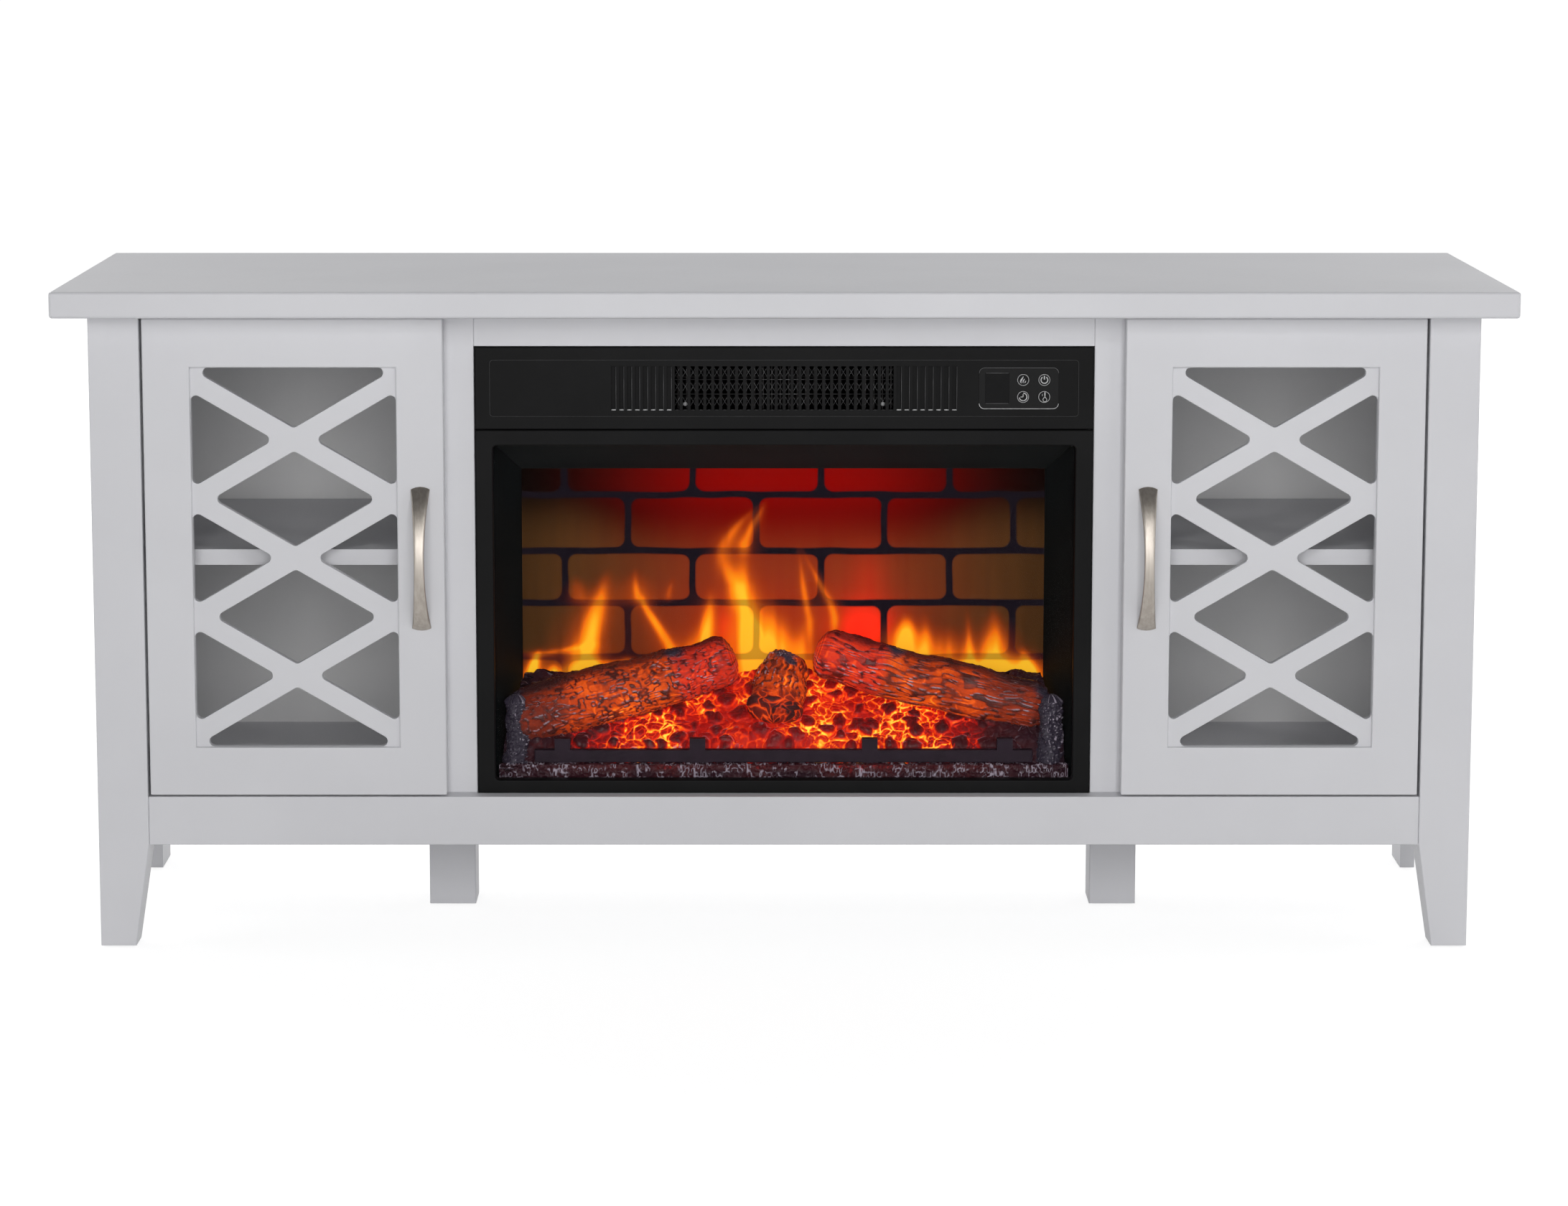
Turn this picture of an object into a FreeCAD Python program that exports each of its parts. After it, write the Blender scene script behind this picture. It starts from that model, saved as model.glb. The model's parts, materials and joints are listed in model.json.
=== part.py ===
# Television stand with two lattice doors and a built-in electric fire.
# Lengths are in millimetres. Seen from the front, X runs right, Y to the back and Z up.
# The origin is on the floor under the middle of the top panel.
import FreeCAD
import Part
import math
import os

Vector = FreeCAD.Vector
ORIGIN = Vector(0, 0, 0)
X_AXIS = Vector(1, 0, 0)
Y_AXIS = Vector(0, 1, 0)
Z_AXIS = Vector(0, 0, 1)
SIDES = {"left": -1, "right": 1}
PARALLEL_LIMIT = 1e-6
OVERRUN = 5.0

# Whole stand
TOP_WIDTH = 1372.0
TOP_DEPTH = 400.0
HEIGHT = 635.0
TOP_THICK = 25.0
TOP_EDGE_ROUND = 3.0
SIDE_OVERHANG = 31.0
FRONT_OVERHANG = 30.0
REAR_OVERHANG = 5.0
FOOT_CLEARANCE = 100.5

# Boards
BOARD = 15.0
BACK_BOARD = 3.0
EDGE_ROUND = 1.0

# Legs and glides
LEG_WIDTH = 48.0
LEG_DEPTH = 45.0
LEG_FOOT = 34.0
LEG_EDGE_ROUND = 1.5
REAR_LEG_DEPTH = 54.0
REAR_LEG_CORNER = 12.0
SUPPORT_LEG = 46.0
SUPPORT_LEG_OFFSET = 21.5
GLIDE_RADIUS = 6.5
GLIDE_HEIGHT = 2.0
GLIDE_PIN_RADIUS = 1.5
GLIDE_PIN_LENGTH = 12.0

# Apron, fascia and face stiles
APRON_HEIGHT = 47.0
APRON_THICK = 18.0
APRON_SET_BACK = 2.0
FASCIA_HEIGHT = 31.5
STILE_WIDTH = 40.0
PARTITION_INSET = 6.5

# Back panels and their cable holes
REAR_SET_IN = 15.0
CABLE_HOLE_RADIUS = 25.0
CABLE_HOLE_SIDE = 42.0

# Shelves and shelf pins
SHELF_RISE = 235.0
SHELF_SIDE_GAP = 1.0
SHELF_FRONT_SET_BACK = 10.0
SHELF_REAR_GAP = 2.0
PIN_RADIUS = 2.5
PIN_DEPTH = 8.0
PIN_OUT = 8.0
PIN_SET_IN = 40.0
PIN_HOLE_STEP = 32.0
PIN_HOLE_GAP = 0.05

# Dowels
DOWEL_RADIUS = 4.0
DOWEL_GAP = 0.05
DOWEL_END_GAP = 0.5
DOWEL_DEEP = 15.0
DOWEL_SHALLOW = 9.0

# Wood screws
SCREW_RADIUS = 1.75
SCREW_LENGTH = 12.0
SCREW_HEAD_RADIUS = 3.5
SCREW_HEAD_HEIGHT = 2.0
SCREW_HOLE_GAP = 0.05

# Doors
DOOR_THICK = 18.0
DOOR_SIDE_GAP = 2.5
DOOR_TOP_GAP = 3.0
DOOR_BOTTOM_GAP = 2.0
DOOR_REST_GAP = 1.5
DOOR_OVERLAP = 12.0
DOOR_STILE = 44.5
DOOR_RAIL = 46.5
DOOR_EDGE_ROUND = 1.5

# Lattice panels
LATTICE_THICK = 8.0
LATTICE_SET_BACK = 4.0
LATTICE_BORDER = 0.3
LATTICE_LAP = 5.0
LATTICE_LAP_GAP = 0.5
LATTICE_STRIP = 19.0
LATTICE_END = 12.25
LATTICE_CROSSES = 3
LATTICE_CORNER = 5.0
LATTICE_EDGE_ROUND = 0.8

# Handles
HANDLE_LENGTH = 138.0
HANDLE_END_WIDTH = 18.0
HANDLE_MIDDLE_WIDTH = 9.5
HANDLE_END_BULGE = 2.5
HANDLE_PROJECTION = 28.0
HANDLE_MIDDLE_THICK = 5.5
HANDLE_FOOT = 10.0
HANDLE_SCREW_RADIUS = 2.0
HANDLE_SCREW_BITE = 1.8
HANDLE_SCREW_HEAD_RADIUS = 4.0
HANDLE_SCREW_HEAD_HEIGHT = 2.5
HANDLE_SCREW_GAP = 0.05

# Hinges
HINGE_FROM_END = 70.0
HINGE_PIN_INSET = 15.0
HINGE_PIN_DEPTH = 8.0
HINGE_PIN_RADIUS = 1.5
HINGE_PIN_GAP = 0.05
HINGE_KNUCKLE_RADIUS = 2.6
CUP_RADIUS = 17.5
CUP_DEPTH = 14.0
CUP_WALL = 1.0
CUP_EDGE_DISTANCE = 20.5
CUP_POCKET_GAP = 0.1
CUP_FLANGE_RADIUS = 19.0
CUP_FLANGE_THICK = 1.5
CUP_WING_LENGTH = 52.0
CUP_WING_WIDTH = 16.0
ARM_THICK = 3.0
ARM_HEIGHT = 14.0
ARM_REACH = 17.0
ARM_CLEARANCE = 14.0
HINGE_PLATE_THICK = 2.0
HINGE_PLATE_HEIGHT = 48.0
HINGE_PLATE_DEPTH = 20.0
HINGE_PLATE_SET_IN = 2.0
HINGE_SCREW_SPACING = 32.0

# Electric fire, outer case
FIRE_WIDTH = 586.0
FIRE_DEPTH = 150.0
FIRE_PROUD = 2.0
BAY_GAP = 0.5
SHEET = 1.2
SHELL_INSET = 7.0
SHELL_TOP_GAP = 2.0
VENT_COUNT = 14
VENT_WIDTH = 5.0
VENT_HEIGHT = 60.0
VENT_PITCH = 14.0
VENT_TOP_GAP = 20.0

# Electric fire, front frame and glass
FRAME_THICK = 12.0
FRAME_SIDE_BAR = 16.7
FRAME_TOP_BAR = 15.0
FRAME_BOTTOM_BAR = 12.8
FRAME_CORNER = 4.0
FRAME_EDGE_ROUND = 1.5
GLASS_THICK = 4.0
GLASS_LAP = 6.5

# Electric fire, control strip
STRIP_HEIGHT = 78.5
STRIP_SEAM = 0.6
STRIP_EDGE_ROUND = 1.5
STRIP_PANEL_SIDE = 14.5
STRIP_PANEL_TOP = 12.5
STRIP_PANEL_DEPTH = 0.8
STRIP_PANEL_CORNER = 3.0
SLOT_PANEL_GAP = 19.5
SLOT_BLIND_COUNT = 8
SLOT_PITCH = 7.5
SLOT_WIDTH = 4.6
SLOT_HEIGHT = 42.0
SLOT_BLIND_DEPTH = 3.0

# Control panel, buttons, display and board
PANEL_FROM_END = 71.0
PANEL_WIDTH = 75.0
PANEL_HEIGHT = 39.0
PANEL_CORNER = 5.0
PANEL_THICK = 3.4
PANEL_POCKET_DEPTH = 3.0
PANEL_POCKET_GAP = 0.1
PANEL_LEDGE = 4.0
DISPLAY_WIDTH = 22.8
DISPLAY_HEIGHT = 29.0
DISPLAY_THICK = 1.5
DISPLAY_GAP = 0.1
DISPLAY_OFFSET = -20.5
BUTTON_RADIUS = 5.6
BUTTON_GAP = 0.3
BUTTON_PROUD = 0.9
BUTTON_FIRST_OFFSET = 4.0
BUTTON_PITCH_X = 20.0
BUTTON_PITCH_Z = 16.2
BUTTON_STEM_RADIUS = 2.0
BUTTON_STEM_GAP = 1.0
BOARD_THICK = 1.6
BOARD_LAP = 1.5

# Heater and blower
GUARD_THICK = 0.8
GUARD_LAP = 4.0
GUARD_ROWS = 4
GUARD_BAR = 1.6
ELEMENT_DEPTH = 20.0
ELEMENT_WALL = 2.0
ELEMENT_FIN = 1.0
ELEMENT_FINS = 26
BLOWER_LENGTH = 240.0
BLOWER_DEPTH = 72.0
BLOWER_DROP = 68.0
BLOWER_RADIUS = 24.0
BLOWER_HUB_RADIUS = 21.0
BLOWER_DISC = 2.0
BLOWER_BLADES = 18
BLOWER_BLADE_THICK = 1.0
BLOWER_BLADE_DEPTH = 6.0
BLOWER_SHAFT_RADIUS = 2.0
BLOWER_END_GAP = 4.0
BLOWER_BUSH_RADIUS = 5.0
BLOWER_BUSH_LENGTH = 6.0
MOTOR_RADIUS = 22.0
MOTOR_LENGTH = 40.0
SHAFT_GAP = 0.05
SHAFT_ENGAGE = 10.0
SHAFT_END_GAP = 1.0

# Firebox lining, screen and rotor
CHEEK_SET_OUT = 1.0
CHEEK_SLANT = 21.8
SCREEN_DEPTH = 112.5
SCREEN_TOP_DROP = 39.0
SCREEN_THICK = 2.0
ROTOR_RADIUS = 12.0
ROTOR_SHAFT_RADIUS = 3.0
ROTOR_RISE = 42.0
ROTOR_BEHIND_SCREEN = 18.0
ROTOR_FINS = 28
ROTOR_FIN_WIDTH = 14.0
ROTOR_FIN_THICK = 1.0
ROTOR_FIN_TURN = 77.0
ROTOR_END = 30.0
ROTOR_MOTOR_RADIUS = 14.0
ROTOR_MOTOR_LENGTH = 20.0
ROTOR_BOSS_RADIUS = 8.0
ROTOR_BOSS_LENGTH = 14.0

# Ember bed, logs and grate
BED_FRONT_GAP = 2.0
BED_REAR_GAP = 1.0
BED_SIDE_GAP = 2.5
BED_STEP_RISE = 25.0
BED_STEP_DEPTH = 14.0
BED_RAMP_RISE = 37.0
BED_BACK_RISE = 96.0
BED_MOUND_WIDTH = 22.0
BED_MOUND_RISE = 88.0
BED_CAVITY_WALL = 18.0
BED_CAVITY_HEIGHT = 14.0
LED_BOARD_THICK = 1.6
LED_SIZE = 5.0
LED_HEIGHT = 2.0
LED_COUNT = 12
LED_BOARD_GAP = 5.0
LOG_SEAT_GAP = 0.3
GRATE_END_GAP = 36.3
GRATE_BAR_HEIGHT = 12.5
GRATE_BAR_THICK = 8.0
GRATE_UPRIGHT_WIDTH = 15.0
GRATE_UPRIGHT_RISE = 23.5
GRATE_SET_BACK = 4.0
GRATE_UPRIGHT_SHARES = (-0.8875, -0.3458, 0.3458, 0.8875)

# Log stations: place across the half opening, through the bed and up the opening,
# and the radius as a share of the opening's height
LEFT_LOG_SHARES = (
    (-0.905, 0.40, 0.146, 0.086),
    (-0.700, 0.42, 0.205, 0.088),
    (-0.450, 0.46, 0.258, 0.085),
    (-0.200, 0.50, 0.330, 0.079),
)
RIGHT_LOG_SHARES = (
    (0.145, 0.54, 0.352, 0.074),
    (0.360, 0.50, 0.290, 0.077),
    (0.620, 0.46, 0.236, 0.077),
    (0.905, 0.42, 0.190, 0.072),
)
CENTRE_LOG_SHARES = (
    (0.000, 0.86, 0.271, 0.066),
    (-0.030, 0.56, 0.212, 0.070),
    (-0.060, 0.30, 0.147, 0.064),
)

# Cord gland and fixing brackets
GLAND_RADIUS = 8.0
GLAND_FLANGE_RADIUS = 12.0
GLAND_FLANGE_THICK = 4.0
GLAND_INSIDE = 6.0
GLAND_BORE_RADIUS = 4.0
GLAND_GAP = 0.1
GLAND_SIDE = 45.0
GLAND_RISE = 28.0
BRACKET_HEIGHT = 60.0
BRACKET_FLANGE = 40.0
BRACKET_RISE = 150.0
BRACKET_REAR = 30.0

# Planes of the cabinet
top_z = HEIGHT - TOP_THICK
floor_z = FOOT_CLEARANCE + APRON_HEIGHT
front_y = -TOP_DEPTH / 2 + FRONT_OVERHANG
rear_y = TOP_DEPTH / 2 - REAR_OVERHANG
back_y = rear_y - REAR_SET_IN
side_x = TOP_WIDTH / 2 - SIDE_OVERHANG
panel_x = side_x - BOARD
leg_x = side_x - LEG_WIDTH
leg_back_y = front_y + LEG_DEPTH
apron_y = front_y + APRON_SET_BACK
apron_back_y = apron_y + APRON_THICK
under_z = floor_z - BOARD

# Planes of the doors and the fireplace bay
door_back_y = front_y + DOOR_THICK
stile_y = door_back_y + DOOR_REST_GAP
stile_back_y = stile_y + BOARD
stile_in_x = FIRE_WIDTH / 2 + BAY_GAP
stile_out_x = stile_in_x + STILE_WIDTH
partition_in_x = stile_in_x + PARTITION_INSET
partition_out_x = partition_in_x + BOARD
door_in_x = stile_out_x - DOOR_OVERLAP
door_out_x = leg_x - DOOR_SIDE_GAP
door_low_z = floor_z + DOOR_BOTTOM_GAP
door_high_z = top_z - DOOR_TOP_GAP
shelf_z = floor_z + SHELF_RISE

# Planes of the electric fire
fire_high_z = top_z - FASCIA_HEIGHT - BAY_GAP
fire_y = stile_y - FIRE_PROUD
frame_back_y = fire_y + FRAME_THICK
fire_rear_y = fire_y + FIRE_DEPTH
cover_y = fire_rear_y - SHEET
shell_x = FIRE_WIDTH / 2 - SHELL_INSET
shell_high_z = fire_high_z - SHELL_TOP_GAP
inner_x = shell_x - SHEET
inner_low_z = floor_z + SHEET
inner_high_z = shell_high_z - SHEET
strip_low_z = fire_high_z - STRIP_HEIGHT
strip_mid_z = fire_high_z - STRIP_HEIGHT / 2
frame_high_z = strip_low_z - STRIP_SEAM
opening_x = FIRE_WIDTH / 2 - FRAME_SIDE_BAR
opening_low_z = floor_z + FRAME_BOTTOM_BAR
opening_high_z = frame_high_z - FRAME_TOP_BAR
opening_height = opening_high_z - opening_low_z
glass_back_y = frame_back_y + GLASS_THICK
screen_y = fire_y + SCREEN_DEPTH
screen_top_z = opening_high_z - SCREEN_TOP_DROP
cheek_x = opening_x + CHEEK_SET_OUT
screen_x = cheek_x - CHEEK_SLANT
bed_front_y = glass_back_y + BED_FRONT_GAP
bed_back_y = screen_y - BED_REAR_GAP
step_z = floor_z + BED_STEP_RISE
control_mid_x = FIRE_WIDTH / 2 - PANEL_FROM_END
slot_half_count = round((control_mid_x - PANEL_WIDTH / 2 - SLOT_PANEL_GAP) / SLOT_PITCH)
slot_count = 2 * slot_half_count
open_slot_count = slot_count - 2 * SLOT_BLIND_COUNT
open_slot_span = open_slot_count * SLOT_PITCH
panel_y = fire_y + STRIP_PANEL_DEPTH + PANEL_POCKET_DEPTH - PANEL_THICK

nodes = {}
cuts = {}
dowels = []
wood_screws = []


# Shape helpers
def box(x, y, z):
    """Block between the low and high values of three pairs, given in any order."""
    low = Vector(min(x), min(y), min(z))
    high = Vector(max(x), max(y), max(z))
    size = high - low
    return Part.makeBox(size.x, size.y, size.z, low)


def rod(centre, axis, radius, length):
    """Cylinder that starts at a point and runs along an axis."""
    return Part.makeCylinder(radius, length, centre, axis)


def prism(points, sweep):
    """Polygon carried along a vector."""
    outline = Part.makePolygon(points + points[:1])
    return Part.Face(outline).extrude(sweep)


def mirrored(shape):
    """The same shape on the other side of the middle plane."""
    return shape.mirror(ORIGIN, X_AXIS)


def edges_along(shape, axis):
    """Straight edges that run parallel to an axis."""
    straight = [edge for edge in shape.Edges if edge.Curve.TypeId == "Part::GeomLine"]
    return [edge for edge in straight if edge.Curve.Direction.cross(axis).Length < PARALLEL_LIMIT]


def edges_at(shape, axis, place):
    """Edges that lie in the plane square to an axis at a place along it."""
    def flat(edge):
        low = edge.BoundBox.getPoint(0)
        high = edge.BoundBox.getPoint(6)
        return max(abs(low.dot(axis) - place), abs(high.dot(axis) - place)) < EDGE_ROUND / 10
    return [edge for edge in shape.Edges if flat(edge)]


def eased_box(x, y, z, radius):
    """Block with every edge rounded."""
    block = box(x, y, z)
    return block.makeFillet(radius, block.Edges)


def rounded_plate(x, y, z, radius):
    """Plate whose four edges along Y are rounded."""
    plate = box(x, y, z)
    return plate.makeFillet(radius, edges_along(plate, Y_AXIS))


def rounded_loop(x, y, z, radius):
    """Rectangle with rounded corners, level at a height."""
    plate = box(x, y, (z, z + OVERRUN))
    plate = plate.makeFillet(radius, edges_along(plate, Z_AXIS))
    lowest = min(plate.Faces, key=lambda face: face.CenterOfMass.z)
    return lowest.OuterWire


def span(side, inner, outer):
    """Pair of X values on one side of the middle plane."""
    return (side * inner, side * outer)


def cut_later(name, shape):
    """Keep a hole for a node until all the nodes are made."""
    cuts.setdefault(name, []).append(shape)


def add_pair(name, right_shape):
    """Right-hand node and its mirror image."""
    nodes["right_" + name] = right_shape
    nodes["left_" + name] = mirrored(right_shape)


def dowel(first, second, joint, axis, into_first, into_second):
    """Dowel across a joint, from the first node along the axis into the second, with both holes."""
    start = joint - axis * into_first
    dowels.append(rod(start, axis, DOWEL_RADIUS, into_first + into_second))
    hole_start = start - axis * DOWEL_END_GAP
    hole_length = into_first + into_second + 2 * DOWEL_END_GAP
    hole = rod(hole_start, axis, DOWEL_RADIUS + DOWEL_GAP, hole_length)
    cut_later(first, hole)
    cut_later(second, hole)


def wood_screw(plate, board, head_face, axis):
    """Screw whose head lies on a plate, with its hole through the plate and into the board."""
    head = rod(head_face - axis * SCREW_HEAD_HEIGHT, axis, SCREW_HEAD_RADIUS, SCREW_HEAD_HEIGHT)
    shank = rod(head_face, axis, SCREW_RADIUS, SCREW_LENGTH)
    wood_screws.append(head.fuse(shank).removeSplitter())
    hole_length = SCREW_LENGTH + DOWEL_END_GAP
    hole = rod(head_face, axis, SCREW_RADIUS + SCREW_HOLE_GAP, hole_length)
    cut_later(plate, hole)
    cut_later(board, hole)


# Carcass
def make_top():
    """Top panel with softly rounded edges."""
    nodes["top_panel"] = eased_box(
        (-TOP_WIDTH / 2, TOP_WIDTH / 2), (-TOP_DEPTH / 2, TOP_DEPTH / 2), (top_z, HEIGHT), TOP_EDGE_ROUND)


def make_front_legs():
    """Square legs that taper on their inner and rear faces below the apron."""
    shaft = rounded_loop((leg_x, side_x), (front_y, leg_back_y), FOOT_CLEARANCE, LEG_EDGE_ROUND)
    foot = rounded_loop(
        (side_x - LEG_FOOT, side_x), (front_y, front_y + LEG_FOOT), GLIDE_HEIGHT, LEG_EDGE_ROUND)
    upper = Part.Face(shaft).extrude(Z_AXIS * (top_z - FOOT_CLEARANCE))
    lower = Part.makeLoft([foot, shaft], True, True)
    add_pair("front_leg", upper.fuse(lower).removeSplitter())


def make_side_panels():
    """Side panels whose rear strip runs to the floor as the rear leg."""
    rear_leg_y = rear_y - REAR_LEG_DEPTH
    panel = box((panel_x, side_x), (leg_back_y, rear_y), (FOOT_CLEARANCE, top_z))
    rear_leg = box((panel_x, side_x), (rear_leg_y, rear_y), (GLIDE_HEIGHT, FOOT_CLEARANCE))
    web_y = (rear_leg_y - REAR_LEG_CORNER, rear_leg_y)
    web = box((panel_x, side_x), web_y, (FOOT_CLEARANCE - REAR_LEG_CORNER, FOOT_CLEARANCE))
    scoop_start = Vector(panel_x - OVERRUN, min(web_y), FOOT_CLEARANCE - REAR_LEG_CORNER)
    scoop = rod(scoop_start, X_AXIS, REAR_LEG_CORNER, BOARD + 2 * OVERRUN)
    whole = panel.fuse([rear_leg, web.cut(scoop)]).removeSplitter()
    add_pair("side_panel", whole.makeFillet(EDGE_ROUND, edges_at(whole, X_AXIS, side_x)))


def make_bottom():
    """Bottom panel, notched round the front legs."""
    panel = box((-panel_x, panel_x), (apron_back_y, back_y), (under_z, floor_z))
    notch_y = (apron_back_y - OVERRUN, leg_back_y)
    notch_z = (under_z - OVERRUN, floor_z + OVERRUN)
    notches = [box(span(side, leg_x, panel_x + OVERRUN), notch_y, notch_z) for side in SIDES.values()]
    nodes["bottom_panel"] = panel.cut(notches)


def make_bay():
    """Partitions, face stiles, apron and fascia round the fireplace bay."""
    partition = box((partition_in_x, partition_out_x), (stile_back_y, back_y), (floor_z, top_z))
    add_pair("partition", partition)
    stile = eased_box((stile_in_x, stile_out_x), (stile_y, stile_back_y), (floor_z, top_z), EDGE_ROUND)
    add_pair("face_stile", stile)
    nodes["front_apron"] = eased_box(
        (-leg_x, leg_x), (apron_y, apron_back_y), (FOOT_CLEARANCE, floor_z), EDGE_ROUND)
    nodes["fascia_rail"] = eased_box(
        (-stile_in_x, stile_in_x), (stile_y, stile_back_y), (top_z - FASCIA_HEIGHT, top_z), EDGE_ROUND)


def make_backs():
    """Thin back panels behind the two cupboards, each with a cable hole above and below the shelf."""
    panel = box((partition_in_x, panel_x), (back_y, back_y + BACK_BOARD), (under_z, top_z))
    hole_x = partition_out_x + CABLE_HOLE_SIDE
    for hole_z in cable_hole_heights():
        start = Vector(hole_x, back_y - OVERRUN, hole_z)
        panel = panel.cut(rod(start, Y_AXIS, CABLE_HOLE_RADIUS, BACK_BOARD + 2 * OVERRUN))
    nodes["back_panels"] = Part.makeCompound([panel, mirrored(panel)])


def cable_hole_heights():
    """Middle height of the cupboard space below and above the shelf."""
    below = (floor_z + shelf_z - BOARD) / 2
    above = (shelf_z + top_z) / 2
    return below, above


def make_shelves():
    """Shelves, notched round the front legs, on pins in rows of holes."""
    shelf_y = (stile_y + SHELF_FRONT_SET_BACK, back_y - SHELF_REAR_GAP)
    shelf_x = (partition_out_x + SHELF_SIDE_GAP, panel_x - SHELF_SIDE_GAP)
    shelf = box(shelf_x, shelf_y, (shelf_z - BOARD, shelf_z))
    stile_notch = box(
        (partition_out_x, stile_out_x + SHELF_SIDE_GAP), (stile_y, stile_back_y + SHELF_SIDE_GAP),
        (shelf_z - BOARD - OVERRUN, shelf_z + OVERRUN))
    leg_notch = box(
        (leg_x - SHELF_SIDE_GAP, panel_x), (front_y, leg_back_y + SHELF_SIDE_GAP),
        (shelf_z - BOARD - OVERRUN, shelf_z + OVERRUN))
    shelf = shelf.cut([stile_notch, leg_notch])
    nodes["shelves"] = Part.makeCompound([shelf, mirrored(shelf)])
    pins = []
    pin_z = shelf_z - BOARD - PIN_RADIUS
    for pin_y in (leg_back_y + PIN_SET_IN, back_y - PIN_SET_IN):
        for wall_x, outward, wall in ((partition_out_x, -1, "partition"), (panel_x, 1, "side_panel")):
            inner_end = wall_x - outward * PIN_OUT
            outer_end = wall_x + outward * PIN_DEPTH
            start_x = min(inner_end, outer_end)
            pin = rod(Vector(start_x, pin_y, pin_z), X_AXIS, PIN_RADIUS, PIN_OUT + PIN_DEPTH)
            pins += [pin, mirrored(pin)]
            for step in (-1, 0, 1):
                hole_x = min(wall_x, outer_end + outward * DOWEL_END_GAP)
                hole_start = Vector(hole_x, pin_y, pin_z + step * PIN_HOLE_STEP)
                hole = rod(hole_start, X_AXIS, PIN_RADIUS + PIN_HOLE_GAP, PIN_DEPTH + DOWEL_END_GAP)
                cut_later("right_" + wall, hole)
                cut_later("left_" + wall, mirrored(hole))
    nodes["shelf_pins"] = Part.makeCompound(pins)


def make_support_legs():
    """Straight legs under the bottom panel, below the partitions."""
    mid_x = (partition_in_x + partition_out_x) / 2 + SUPPORT_LEG_OFFSET
    mid_y = (apron_back_y + back_y) / 2
    half = SUPPORT_LEG / 2
    leg = box((mid_x - half, mid_x + half), (mid_y - half, mid_y + half), (GLIDE_HEIGHT, under_z))
    leg = leg.makeFillet(LEG_EDGE_ROUND, edges_along(leg, Z_AXIS))
    joint = Vector(mid_x, mid_y, under_z)
    for side in SIDES.values():
        place = Vector(side * mid_x, mid_y, under_z)
        dowel("support_legs", "bottom_panel", place, Z_AXIS, DOWEL_DEEP, DOWEL_SHALLOW)
    nodes["support_legs"] = Part.makeCompound([leg, mirrored(leg)])
    return joint


def make_glides(support_joint):
    """Plastic glides with a pin, under all six legs."""
    front = Vector(side_x - LEG_FOOT / 2, front_y + LEG_FOOT / 2, 0)
    rear = Vector(side_x - BOARD / 2, rear_y - REAR_LEG_DEPTH / 2, 0)
    middle = Vector(support_joint.x, support_joint.y, 0)
    glides = []
    carriers = ((front, "front_leg"), (rear, "side_panel"), (middle, "support_legs"))
    for place, carrier in carriers:
        disc = rod(place, Z_AXIS, GLIDE_RADIUS, GLIDE_HEIGHT)
        pin = rod(place, Z_AXIS, GLIDE_PIN_RADIUS, GLIDE_HEIGHT + GLIDE_PIN_LENGTH)
        glide = disc.fuse(pin).removeSplitter()
        hole_length = GLIDE_HEIGHT + GLIDE_PIN_LENGTH + DOWEL_END_GAP
        hole = rod(place, Z_AXIS, GLIDE_PIN_RADIUS + PIN_HOLE_GAP, hole_length)
        glides += [glide, mirrored(glide)]
        if carrier == "support_legs":
            cut_later(carrier, hole)
            cut_later(carrier, mirrored(hole))
        else:
            cut_later("right_" + carrier, hole)
            cut_later("left_" + carrier, mirrored(hole))
    nodes["leg_glides"] = Part.makeCompound(glides)


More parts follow.
